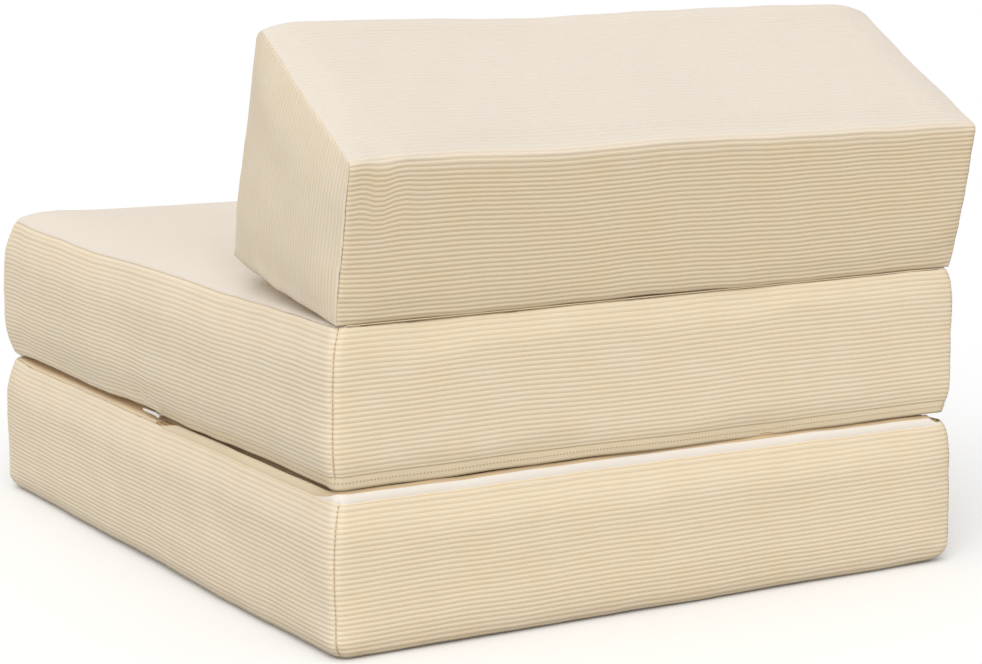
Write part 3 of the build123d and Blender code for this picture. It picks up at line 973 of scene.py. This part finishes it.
def wedge_panels():
    """The wrap, bottom and side panels of the backrest."""
    cushion = settings().cushion
    outline, shares, length, (rear_corner, front_corner) = wedge_section()
    knots = (0, rear_corner, front_corner, 1)
    rear_foot, front_foot = wedge_outline[0], wedge_outline[3]
    depth = rear_foot[0] - front_foot[0]

    def section(q):
        return np.stack([np.interp(q, shares, outline[:, k]) for k in (0, 1)], axis=-1)

    def outward(q):
        way = section(np.clip(q + 0.012, 0, 1)) - section(np.clip(q - 0.012, 0, 1))
        normal = np.stack([way[..., 1], -way[..., 0]], axis=-1)
        return normal / np.linalg.norm(normal, axis=-1, keepdims=True)

    def settled(x, y, z):
        points = np.stack([x, y, z], axis=-1)
        points = from_wedge(points + drift(points, cushion.rumple, 41, 0.2))
        return pushed(points, moves["backrest"])

    def wrap(s, t):
        x = (1 - 2 * s) * half_width
        q = np.interp(t, thirds, knots)
        on_face = np.interp(q, knots, (0, 1, 2, 3)) % 1
        feet = np.minimum(smooth(q / 0.012), smooth((1 - q) / 0.03))
        side = risen((half_width - abs(x)) / cushion.shoulder)
        edge = hill(q, front_corner, 0.035)
        crown = wrap_crown + face_crown * np.sin(np.pi * on_face) + edge_crown * edge
        out = crown * side * feet
        flat = section(q) + outward(q) * out[..., None]
        return settled(x, flat[..., 0], flat[..., 1])

    def bottom(s, t):
        x = (1 - 2 * s) * half_width
        in_x, in_y = half_width - abs(x), np.minimum(t, 1 - t) * depth
        in_y = np.minimum(in_y / bottom_reach, (1 - t) * depth / bottom_rear_reach)
        rise = bottom_crown * risen(in_x / bottom_reach) * risen(in_y)
        foot = front_foot + (rear_foot - front_foot) * t[..., None]
        return settled(x, foot[..., 0], foot[..., 1] - rise)

    def side(sign):
        top_front, top_rear = section(np.array(front_corner)), section(np.array(rear_corner))

        def place(s, t):
            s_rear = s if sign > 0 else 1 - s
            a, b = s_rear[..., None], t[..., None]
            foot = front_foot + (rear_foot - front_foot) * a
            top = section(front_corner + (rear_corner - front_corner) * s_rear)
            front, rear = section(1 + (front_corner - 1) * t), section(rear_corner * t)
            corners = (1 - a) * (1 - b) * front_foot + a * (1 - b) * rear_foot
            corners = corners + (1 - a) * b * top_front + a * b * top_rear
            flat = (1 - b) * foot + b * top + (1 - a) * front + a * rear - corners
            wide = np.linalg.norm(rear - front, axis=-1)
            tall = np.linalg.norm(top - foot, axis=-1)
            edges = (s_rear * wide, (1 - s_rear) * wide, t * tall, (1 - t) * tall)
            crown = np.prod([risen(edge / side_reach) for edge in edges], axis=0)
            return settled(sign * (half_width + side_crown * crown), flat[..., 0], flat[..., 1])

        return place

    panels = {
        "wrap": Panel(wrap, 2 * half_width, length),
        "bottom": Panel(bottom, 2 * half_width, depth),
        "left": Panel(side(1), depth, wedge_tall),
        "right": Panel(side(-1), depth, wedge_tall),
    }
    for panel in panels.values():
        panel.planes = fold_planes["backrest"]
    simulate(panels, foam_counts["backrest"], {"bottom": -1})
    return panels, knots


def upright_mesh(panel, seed):
    """A side panel's mesh with its wales upright."""
    turned = Panel(lambda s, t: panel.laid(1 - t, s), panel.across, panel.along, height=0.55)
    # Some painted sheen on the wedge's sides.
    turned.painted_light = everywhere(0.3)
    turned.soft = lambda s, t: smooth((s - 0.9) / 0.06)
    return panel_mesh(turned, 9 * mm, seed=seed)


def sew_wedge():
    """Sew the backrest's four panels into one closed cover, and return them."""
    (panels, knots), sewing = wedge_panels(), Sewing()

    def slope(s, t):
        return smooth((t - knots[1] + 0.01) / 0.03) * smooth((knots[2] + 0.02 - t) / 0.03)

    wrap_panel = panels["wrap"]
    even = Panel(
        lambda s, t: wrap_panel.laid(s, np.interp(t, knots, thirds)),
        wrap_panel.along,
        wrap_panel.across,
        fine=0.935,
        bends=wrap_bends,
        # Painted sheen on the slope, and painted shade on the rear face.
        painted_light=lambda s, t: slope(s, t) - 0.2 * smooth((knots[1] - t) / 0.02),
        soft=lambda s, t: slope(s, t) + smooth((0.05 - t) / 0.02),
    )
    wrap = sewing.add(*panel_mesh(even, 12 * mm, seed=300))
    bottom = sewing.add(*panel_mesh(panels["bottom"], 24 * mm, 3, seed=310))
    # Turned back, a side's grid runs up from its foot, and then from the rear on the left
    left, right = (
        sewing.add(*upright_mesh(panels[name], seed))[:, ::-1].T
        for name, seed in (("left", 320), ("right", 330))
    )
    left_rim = np.concatenate([left[-1, :], left[-2::-1, -1], left[0, -2::-1]])
    right_rim = np.concatenate([right[0, :], right[1:, -1], right[-1, -2::-1]])
    for low, high in (
        (bottom[:, -1], wrap[:, 0]),
        (wrap[:, -1], bottom[:, 0]),
        (wrap[0, :], left_rim),
        (right_rim, wrap[-1, :]),
        (bottom[0, :], left[:, 0]),
        (right[::-1, 0], bottom[-1, :]),
    ):
        sewing.seam(low, high)
    sewing.corner(wrap[0, 0], bottom[0, -1], left[-1, 0])
    sewing.corner(wrap[0, -1], left[0, 0], bottom[0, 0])
    sewing.corner(wrap[-1, 0], right[0, 0], bottom[-1, -1])
    sewing.corner(wrap[-1, -1], bottom[-1, 0], right[-1, 0])
    sewing.cover("backrest", panels)
    return panels


def band(name, stations, material):
    """A closed band of cloth: one loop of points at each station, with its ends closed."""
    n, m = stations.shape[:2]
    numbers = np.arange(n * m).reshape(n, m)
    around = np.roll(numbers, -1, axis=1)
    faces = between(numbers[:-1], around[:-1], around[1:], numbers[1:])
    faces += [numbers[0].tolist(), numbers[-1][::-1].tolist()]
    made = mesh_object(name, stations.reshape(-1, 3), faces, material)
    run, girth = distances(stations[:, 0]), distances(stations[n // 2])
    along, across = np.meshgrid(run, girth, indexing="ij")
    store(made, "cloth", "FLOAT_VECTOR", np.stack([along, across, np.full_like(along, 0.01)], -1))
    return made


def course(block, panels, heights):
    """Points and outward ways on the walls along a zip flap, round the rear half of a block."""
    low, high = seams[block]
    middle = (half_depth + flap_start) / (2 * half_depth)
    points = []
    for name, first, last in (("left", middle, 1), ("rear", 0, 1), ("right", 0, 1 - middle)):
        count = int(panels[name].along * (last - first) / (6 * mm))
        shares = np.linspace(first, last, count), (heights - low) / (high - low)
        laid = panels[name].laid(*np.meshgrid(*shares, indexing="ij"))
        points.append(laid[1:] if points else laid)
    points = np.concatenate(points)
    outward = np.cross(np.gradient(points, axis=0), (0, 0, 1.0))
    return points, outward / np.linalg.norm(outward, axis=-1, keepdims=True)


def flap(block, outer, inner, painted_light=False):
    """A flap from the points of its two faces."""
    loops = np.concatenate([outer, inner[:, ::-1]], axis=1)
    finish = strip_finish("painted_highlight_weave", True) if painted_light else strip_finish("plain_weave")
    strip = band(f"{block}_zip_cover_strip", loops, finish)
    tell(strip, block, "hinge_cloth", f"{block}_zip_flap")


def block_flap(block, panels):
    """The smooth strip that hides a block's zip, tucked under the edge of the corduroy."""
    seat = block == "seat"
    heights, proud = (np.array(row) * mm for row in flap_rows[block])
    points, outward = course(block, panels, heights + seams[block][not seat])
    run = np.linspace(0, 1, len(points)) * flap_run
    swing = waves(run, (0.19, 0.11, 0.33), 7 if seat else 8)[:, None]
    ends = smooth(np.minimum(run, flap_run - run) / 0.02)[:, None]
    # The seat's flap hangs from its top row, and the base's stands up from its bottom row
    loose = 0 if seat else -1
    share = np.linspace(1, 0, len(heights))[:: 1 if seat else -1]
    out = proud + swing * 0.54 * mm * share**2 - (1 - ends) * 1.3 * mm
    x, y = points[:, loose, 0, None], points[:, loose, 1, None]
    behind = smooth((y - half_depth + 22 * mm) / (20 * mm))
    if seat:
        rise = ((swing + 1) * 0.3 - behind * 2.0) * mm * share**3
        out = out + behind * share * 1.1 * mm
    else:
        lip = smooth((x + 0.390) / 0.012) * smooth((y - flap_start) / 0.05)
        lip = lip * (6.7 + 3.3 * behind) * mm
        rise = lip * np.array((0, 0, 0.05, 0.3, 0.7, 1.0))
        out = out + lip * np.array((0, 0, 0, 0.04, 0.02, -0.14))
    outer = points + outward * out[..., None]
    outer[..., 2] += rise
    flap(block, outer, outer - outward * flap_thickness, painted_light=not seat)
    if seat:
        ways = outward[:, 2]
        lines, pitch = [(outer[:, 2] + ways * (0.35 * mm), ways)], settings().zips.flap_stitch_pitch
        stitches("seat_flap_stitches", lines, block, pitch, (1.7, 1.05, 0.9))


def wedge_flap():
    """The strip that hides the backrest's zip, along the foot of its front."""
    foot, top = wedge_outline[3], wedge_outline[2]
    rise = (top - foot) / np.linalg.norm(top - foot)
    out = np.array((-rise[1], rise[0]))
    x = (np.linspace(-1, 1, 101) * wedge_zip)[:, None]
    ends = smooth((wedge_zip - abs(x)) / 0.02)
    heights, proud = (np.array(row) * mm for row in flap_rows["backrest"])
    wave = waves(x, (0.19, 0.11), 9) * 0.5 * mm
    lift = proud + wave * np.linspace(1, 0, len(heights)) - (1 - ends) * 0.8 * mm
    faces = []
    for depth in (0, flap_thickness):
        flat = foot + heights[:, None] * rise + (lift - depth)[..., None] * out
        across = np.broadcast_to(x, lift.shape)[..., None]
        faces.append(from_wedge(np.concatenate([across, flat], axis=-1)))
    flap("backrest", *faces)


def grown(name, kind, lines, body, slot, material, pitch, size, sides=6):
    """Repeat a small part along lines with a node tree, and keep the result as a plain mesh."""
    points, ways, edges = [], [], []
    for line, way in lines:
        start = len(points)
        points += line.tolist()
        ways += np.broadcast_to(way, line.shape).tolist()
        edges += [[k, k + 1] for k in range(start, len(points) - 1)]
    mesh = bpy.data.meshes.new(name)
    mesh.from_pydata(points, edges, [])
    holder, part = placed(name, mesh), part_shape(kind, size, sides)
    store(holder, "outward", "FLOAT_VECTOR", ways)
    modifier = holder.modifiers.new("repeat", "NODES")
    modifier.node_group = repeat_tree(f"{kind}_row")
    values = {"Part": part, "Pitch": pitch, "Material": material}
    for item in modifier.node_group.interface.items_tree:
        if item.in_out == "INPUT" and item.name in values:
            modifier[item.identifier] = values[item.name]
    evaluated = holder.evaluated_get(bpy.context.evaluated_depsgraph_get())
    plain = bpy.data.meshes.new_from_object(evaluated)
    holder.modifiers.clear()
    holder.data = plain
    tell(holder, body, slot)
    bpy.data.objects.remove(part)


def repeat_tree(kind):
    """Node tree that sets a part along the mesh's lines, across the outward way of each point."""
    found = bpy.data.node_groups.get(kind)
    if found:
        return found
    tree = bpy.data.node_groups.new(kind, "GeometryNodeTree")
    for name, side, socket in (
        ("Geometry", "INPUT", "NodeSocketGeometry"),
        ("Part", "INPUT", "NodeSocketObject"),
        ("Pitch", "INPUT", "NodeSocketFloat"),
        ("Material", "INPUT", "NodeSocketMaterial"),
        ("Geometry", "OUTPUT", "NodeSocketGeometry"),
    ):
        tree.interface.new_socket(name, in_out=side, socket_type=socket)
    nodes, given = Finish(tree), tree.nodes.new("NodeGroupInput")
    lines, part, pitch, material = (Term(nodes, socket) for socket in given.outputs[:4])
    curve = nodes.node("GeometryNodeMeshToCurve", {0: lines})
    inputs = {"Curve": curve, "Length": pitch}
    spaced = nodes.node("GeometryNodeResampleCurve", inputs, mode="LENGTH")
    stored, align = "GeometryNodeInputNamedAttribute", "FunctionNodeAlignRotationToVector"
    outward = nodes.node(stored, {"Name": "outward"}, "Attribute", data_type="FLOAT_VECTOR")
    upright = nodes.node(align, {"Vector": outward}, axis="Z")
    inputs = {"Rotation": upright, "Vector": nodes.node("GeometryNodeInputTangent")}
    turned = nodes.node(align, inputs, axis="X", pivot_axis="Z")
    shape = nodes.node("GeometryNodeObjectInfo", {"Object": part}, "Geometry")
    inputs = {"Points": spaced, "Instance": shape, "Rotation": turned}
    row = nodes.node("GeometryNodeInstanceOnPoints", inputs)
    real = nodes.node("GeometryNodeRealizeInstances", {0: row})
    inputs = {"Geometry": real, "Material": material}
    nodes.node("NodeGroupOutput", {0: nodes.node("GeometryNodeSetMaterial", inputs)})
    return tree


def part_shape(name, size, sides, rings=4):
    """A small rounded part, long in x, that a tree repeats."""
    angles = np.linspace(0, np.pi, rings + 1)[1:-1]
    angle, turn = np.meshgrid(angles, 2 * np.pi * np.arange(sides) / sides, indexing="ij")
    width = np.sin(angle) ** 0.6
    ball = np.stack([-np.cos(angle), np.cos(turn) * width, np.sin(turn) * width], axis=-1)
    points = np.concatenate([[(-1, 0, 0)], ball.reshape(-1, 3), [(1, 0, 0)]])
    rows = 1 + np.arange(angle.size).reshape(angle.shape)
    around = np.roll(rows, -1, axis=1)
    faces = between(rows[:-1], around[:-1], around[1:], rows[1:])
    faces += between(np.zeros(sides, int), around[0], rows[0])
    faces += between(rows[-1], around[-1], np.full(sides, len(points) - 1))
    return mesh_object(name, points * np.array(size) * mm / 2, faces)


def stitches(name, lines, body, pitch, size):
    """Rows of stitches along lines."""
    grown(name, "stitch", lines, body, "hinge_cloth", thread_finish("thread"), pitch, size)


def zip_line(block, inset, height, start=3.5 * mm):
    """A line along a zip: its places, and the way it faces."""
    if block == "backrest":
        line = np.zeros((90, 3))
        line[:, 0] = np.linspace(-1, 1, 90) * (wedge_zip - (3 * mm if start > 1 * mm else 0))
        line[:, 1] = wedge_outline[3][0] + inset
        line[:, 2] = 0.6 * mm - height
        return from_wedge(line), np.array((0, -np.sin(lean), -np.cos(lean)))
    base = block == "base"
    up = 1 if base else -1
    x, y = half_width - inset, half_depth - inset
    corners = np.array([(x, start), (x, y), (-x, y), (-x, start)])
    line = [corners[:1]]
    for a, b, count in zip(corners[:-1], corners[1:], (230, 396, 230)):
        line.append(a + (b - a) * np.arange(1, count + 1)[:, None] / count)
    line = np.column_stack(rounded_square(*np.concatenate(line).T))
    level = np.full(len(line), seams[block][base] + up * height)
    return np.column_stack([line, level]), np.array((0, 0, up), float)


def zip_band(block, name, corners, finish, slot, replaced, start=3.5 * mm):
    """A band along a zip, from the insets and heights of its corners."""
    loops = [zip_line(block, a * mm, b * mm, start)[0] for a, b in corners]
    made = band(f"{block}_zip_{name}", np.stack(loops, axis=1), finish)
    tell(made, block, slot, f"{block}_zip_{replaced}")


def zip_tapes(block):
    """The two tapes of a zip, woven on either side of its chain."""
    # The tapes are brown as painted shade, so that the gap between the blocks looks brown.
    weave = woven_finish("woven_tape", (0.62, 0.42, 0.20), 1100)
    for side, outer, inner in (("outer", 0.6, 5.2), ("inner", 8.8, 13.6)):
        corners = ((outer, -0.1), (inner, -0.1), (inner, -1.7), (outer, -1.7))
        zip_band(block, f"{side}_webbing", corners, weave, "zip_tape", f"{side}_tape", 0.5 * mm)


def zip_chain(block):
    """The closed chain of a zip: a ribbon and two rows of teeth."""
    zips = settings().zips
    # Brown teeth and ribbon: painted shade for the gap between the blocks.
    gap_shade = plastic_finish("gap_shade_plastic", zips.chain_shade_colour)
    lines = [zip_line(block, (7 + side) * mm, 0.42 * mm) for side in (-0.85, 0.85)]
    name, pitch, size = f"{block}_zip_teeth", zips.tooth_pitch / 2, (1.5, 2.0, 0.98)
    grown(name, "tooth", lines, block, "zip_plastic", gap_shade, pitch, size, sides=8)
    corners = ((5.3, 0.2), (8.7, 0.2), (8.7, -1.7), (5.3, -1.7))
    zip_band(block, "ribbon", corners, gap_shade, "zip_plastic", "chain")


def softened(node, body, width, finish):
    """A piece of the frame with its edges rounded."""
    source, name = frame["nodes"][node], f"{node}_moulding"
    mesh = source.data.copy()
    mesh.name = name
    mesh.transform(source.matrix_world)
    shape = bmesh.new()
    shape.from_mesh(mesh)
    bmesh.ops.remove_doubles(shape, verts=shape.verts, dist=1e-6)
    bmesh.ops.dissolve_limit(shape, angle_limit=0.01, verts=shape.verts, edges=shape.edges)
    sharp = [e for e in shape.edges if len(e.link_faces) == 2 and e.calc_face_angle() > 0.6]
    bevel = {"segments": 2, "profile": 0.5, "affect": "EDGES", "clamp_overlap": True}
    bmesh.ops.bevel(shape, geom=sharp, offset=width, **bevel)
    bmesh.ops.recalc_face_normals(shape, faces=shape.faces)
    shape.to_mesh(mesh)
    shape.free()
    mesh.materials.clear()
    mesh.materials.append(finish)
    tell(placed(name, mesh), body, "zip_plastic", node)


def offsets(origin, *steps):
    """Points at some steps in mm from one point."""
    return [np.array(origin) + np.array(step) * mm for step in steps]


def hinge_strip(name, middle, thickness, inset, leaves):
    """A sewn strip across a fold, from its middle line in y and z, in place of the two leaves that
    it hides.
    """
    middle = np.array(middle)
    ahead = np.gradient(middle, axis=0)
    side = np.column_stack([-ahead[:, 1], ahead[:, 0]])
    side *= thickness / 2 / np.linalg.norm(side, axis=1, keepdims=True)
    outline = np.concatenate([middle + side, (middle - side)[::-1]])
    loops = np.zeros((81, len(outline), 3))
    loops[..., 0] = np.linspace(-1, 1, 81)[:, None] * (half_width - inset)
    loops[..., 1:] = outline
    strip = band(name, loops, strip_finish("plain_weave"))
    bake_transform(strip)
    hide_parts(*leaves)


def front_hinge():
    """The strip that joins base and seat along the front."""
    _, y, z = front_axis
    base, seat = seams["base"][1] + 5.0 * mm, seams["seat"][0] - 2.0 * mm
    middle = offsets((-half_depth, base), (11, 1.9), (5, 1.3), (0, 0.6), (-3.4, 1.3))
    middle += offsets((y, z), (3.2, -1.0), (2.2, 0), (3.2, 0.8))
    middle += offsets((-half_depth, seat), (-3.4, -0.8), (0, -0.5), (5, -0.7), (11, -0.9))
    leaves = ("front_hinge_base_leaf", "front_hinge_seat_leaf")
    hinge_strip("front_hinge_strip", middle, 0.7 * mm, 9 * mm, leaves)


def rear_hinge():
    """The strip that joins seat and backrest along the rear."""
    foot = from_wedge(np.array([0, *wedge_outline[0]]))[1:]
    hem = from_wedge(np.array([0, *offsets(wedge_outline[0], (-11, -0.6))[0]]))[1:]
    middle = offsets((half_depth, seams["seat"][1]), (-11, 0.7), (-5, 0.6), (0, 0.5))
    middle += offsets((half_depth, rear_axis[2]), (1.6, -0.3), (2.2, 0), (1.6, 0.3))
    middle += offsets(foot, (0, -0.5)) + offsets((foot[0], (foot[1] + hem[1]) / 2), (-5, -0.5))
    leaves = ("rear_hinge_seat_leaf", "rear_hinge_backrest_leaf")
    hinge_strip("rear_hinge_strip", [*middle, hem], 0.5 * mm, 13 * mm, leaves)


def corner_stitches(block, panels):
    """Rows of stitches up the four corner seams of a block."""
    lines = []
    for k, name in enumerate(order):
        share = np.linspace(0.015, 0.985, max(8, int(panels[name].along / (8 * mm))))
        faces = np.array(walls[name][1], float) + walls[order[(k + 1) % 4]][1]
        lines.append((panels[name].laid(np.ones_like(share), share), faces))
    pitch = settings().zips.stitch_pitch
    stitches(f"{block}_seam_stitches", lines, block, pitch, (2.4, 0.8, 0.8))


class SOFA_OT_base_cushion(bpy.types.Operator):
    """Sew the base's cover round its foam"""

    bl_idname = "sofa.base_cushion"
    bl_label = "Base Cushion"

    def execute(self, context):
        made["base"] = sew_block("base")
        return {"FINISHED"}


class SOFA_OT_seat_cushion(bpy.types.Operator):
    """Sew the seat's cover round its foam"""

    bl_idname = "sofa.seat_cushion"
    bl_label = "Seat Cushion"

    def execute(self, context):
        made["seat"] = sew_block("seat")
        return {"FINISHED"}


class SOFA_OT_backrest_cushion(bpy.types.Operator):
    """Sew the backrest's cover round its wedge"""

    bl_idname = "sofa.backrest_cushion"
    bl_label = "Backrest Cushion"

    def execute(self, context):
        made["backrest"] = sew_wedge()
        return {"FINISHED"}


class SOFA_OT_foam(bpy.types.Operator):
    """Put the foam into the covers"""

    bl_idname = "sofa.foam"
    bl_label = "Foam"

    def execute(self, context):
        if not made:
            raise RuntimeError("the covers come before their foam")
        for block, panels in made.items():
            places, faces, _, _ = coarse_cover(panels, foam_counts[block])
            cells = woven_finish("foam_cells", (0.86, 0.80, 0.60), 700)
            core = mesh_object(f"{block}_foam", places, faces, cells)
            outward = np.zeros(len(places) * 3)
            core.data.vertices.foreach_get("normal", outward)
            places = places - outward.reshape(-1, 3) * foam_inset
            core.data.vertices.foreach_set("co", places.ravel())
            tell(core, block, "foam", f"{block}_foam_core")
        return {"FINISHED"}


class SOFA_OT_zips(bpy.types.Operator):
    """Make the zips with their flaps, teeth, sliders and pulls"""

    bl_idname = "sofa.zips"
    bl_label = "Zips"

    def execute(self, context):
        moulded = plastic_finish("moulded_plastic", settings().zips.plastic_colour)
        for block in ("base", "seat"):
            block_flap(block, made[block])
        wedge_flap()
        for block in made:
            zip_chain(block)
            for part, width in (("slider", 0.35 * mm), ("pull", 0.3 * mm)):
                softened(f"{block}_zip_{part}", f"{block}_zip_{part}_body", width, moulded)
            zip_tapes(block)
            stops = frame["nodes"][f"{block}_zip_stops"]
            stops.data.materials.clear()
            stops.data.materials.append(moulded)
        return {"FINISHED"}


class SOFA_OT_hinges(bpy.types.Operator):
    """Sew the two strips that the sofa folds on"""

    bl_idname = "sofa.hinges"
    bl_label = "Hinge Strips"

    def execute(self, context):
        front_hinge()
        rear_hinge()
        return {"FINISHED"}


class SOFA_OT_seams(bpy.types.Operator):
    """Stitch the seams that show"""

    bl_idname = "sofa.seams"
    bl_label = "Seam Stitches"

    def execute(self, context):
        for block in ("base", "seat"):
            corner_stitches(block, made[block])
        return {"FINISHED"}


class SOFA_OT_stage(bpy.types.Operator):
    """Set up the floor, the lights and the camera"""

    bl_idname = "sofa.stage"
    bl_label = "Stage"

    def execute(self, context):
        sizes, scene = settings().stage, context.scene
        scene.view_settings.view_transform = "Standard"

        world = bare(bpy.data.worlds.new("even_light"))
        camera_ray = world.node("ShaderNodeLightPath", output="Is Camera Ray")
        glossy_ray = world.node("ShaderNodeLightPath", output="Is Glossy Ray")
        shares = {0: camera_ray.sum("MAXIMUM", camera_ray, glossy_ray)}
        for socket, strength in ((1, sizes.sky), (2, 1)):
            light = {"Color": (1, 1, 1), "Strength": strength}
            shares[socket] = world.node("ShaderNodeBackground", light)
        shown = world.node("ShaderNodeMixShader", shares)
        world.node("ShaderNodeOutputWorld", {"Surface": shown})
        scene.world = world.owner

        finish = bare(bpy.data.materials.new("pale_floor"))
        seen = finish.node("ShaderNodeLightPath", output="Is Camera Ray")
        shade = finish.mix(seen, (0.5, 0.5, 0.5), (0.97, 0.97, 0.97))
        paint = finish.surface(shade, 0.9, specular_ior_level=0.1)
        corners = [(x, y, -0.5 * mm) for x, y in ((-30, -30), (30, -30), (30, 30), (-30, 30))]
        mesh_object("floor", corners, [[0, 1, 2, 3]], paint, False)

        for name, strength, spread, tilt in (
            ("overhead_light", sizes.key, 70, (-10, 12, 0)),
            ("rear_light", sizes.fill, 50, (-55, 0, -38.5)),
        ):
            sun = bpy.data.lights.new(name, "SUN")
            sun.energy, sun.angle = strength, np.radians(spread)
            placed(name, sun).rotation_euler = Euler(np.radians(tilt))

        lens = bpy.data.cameras.new("camera")
        lens.sensor_width = 36
        lens.lens = sizes.focal_pixels / 982 * 36
        lens.shift_y = sizes.camera_shift
        lens.clip_end = 200
        camera = placed("camera", lens)
        camera.location = sizes.camera_place
        tilt = (90 - sizes.camera_dip, 0, sizes.camera_heading - 90)
        camera.rotation_euler = Euler(np.radians(tilt))
        scene.camera = camera
        return {"FINISHED"}


class SOFA_PT_sidebar(bpy.types.Panel):
    """Sofa"""

    bl_label = "Folding Sofa"
    bl_space_type = "VIEW_3D"
    bl_region_type = "UI"
    bl_category = "Sofa"

    def draw(self, context):
        for step in steps:
            self.layout.operator(step.bl_idname)
        for group in ("cushion", "corduroy", "zips", "stage"):
            values = getattr(context.scene.folding_sofa, group)
            box = self.layout.box()
            for name in values.__annotations__:
                box.prop(values, name)


made = {}
steps = [
    SOFA_OT_base_cushion,
    SOFA_OT_seat_cushion,
    SOFA_OT_backrest_cushion,
    SOFA_OT_foam,
    SOFA_OT_zips,
    SOFA_OT_hinges,
    SOFA_OT_seams,
    SOFA_OT_stage,
]
groups = [CushionSizes, CorduroySizes, ZipSizes, StageSizes, SofaSettings]
classes = [*groups, *steps, SOFA_PT_sidebar]


def register():
    """Register the classes and the scene's settings."""
    for kind in classes:
        bpy.utils.register_class(kind)
    bpy.types.Scene.folding_sofa = PointerProperty(type=SofaSettings)


def unregister():
    """Take the classes and settings away again."""
    del bpy.types.Scene.folding_sofa
    for kind in reversed(classes):
        bpy.utils.unregister_class(kind)


def main():
    """Make everything in order."""
    register()
    bpy.ops.sofa.base_cushion()
    bpy.ops.sofa.seat_cushion()
    bpy.ops.sofa.backrest_cushion()
    bpy.ops.sofa.foam()
    bpy.ops.sofa.zips()
    bpy.ops.sofa.hinges()
    bpy.ops.sofa.seams()
    bpy.ops.sofa.stage()


if __name__ == "__main__":
    main()
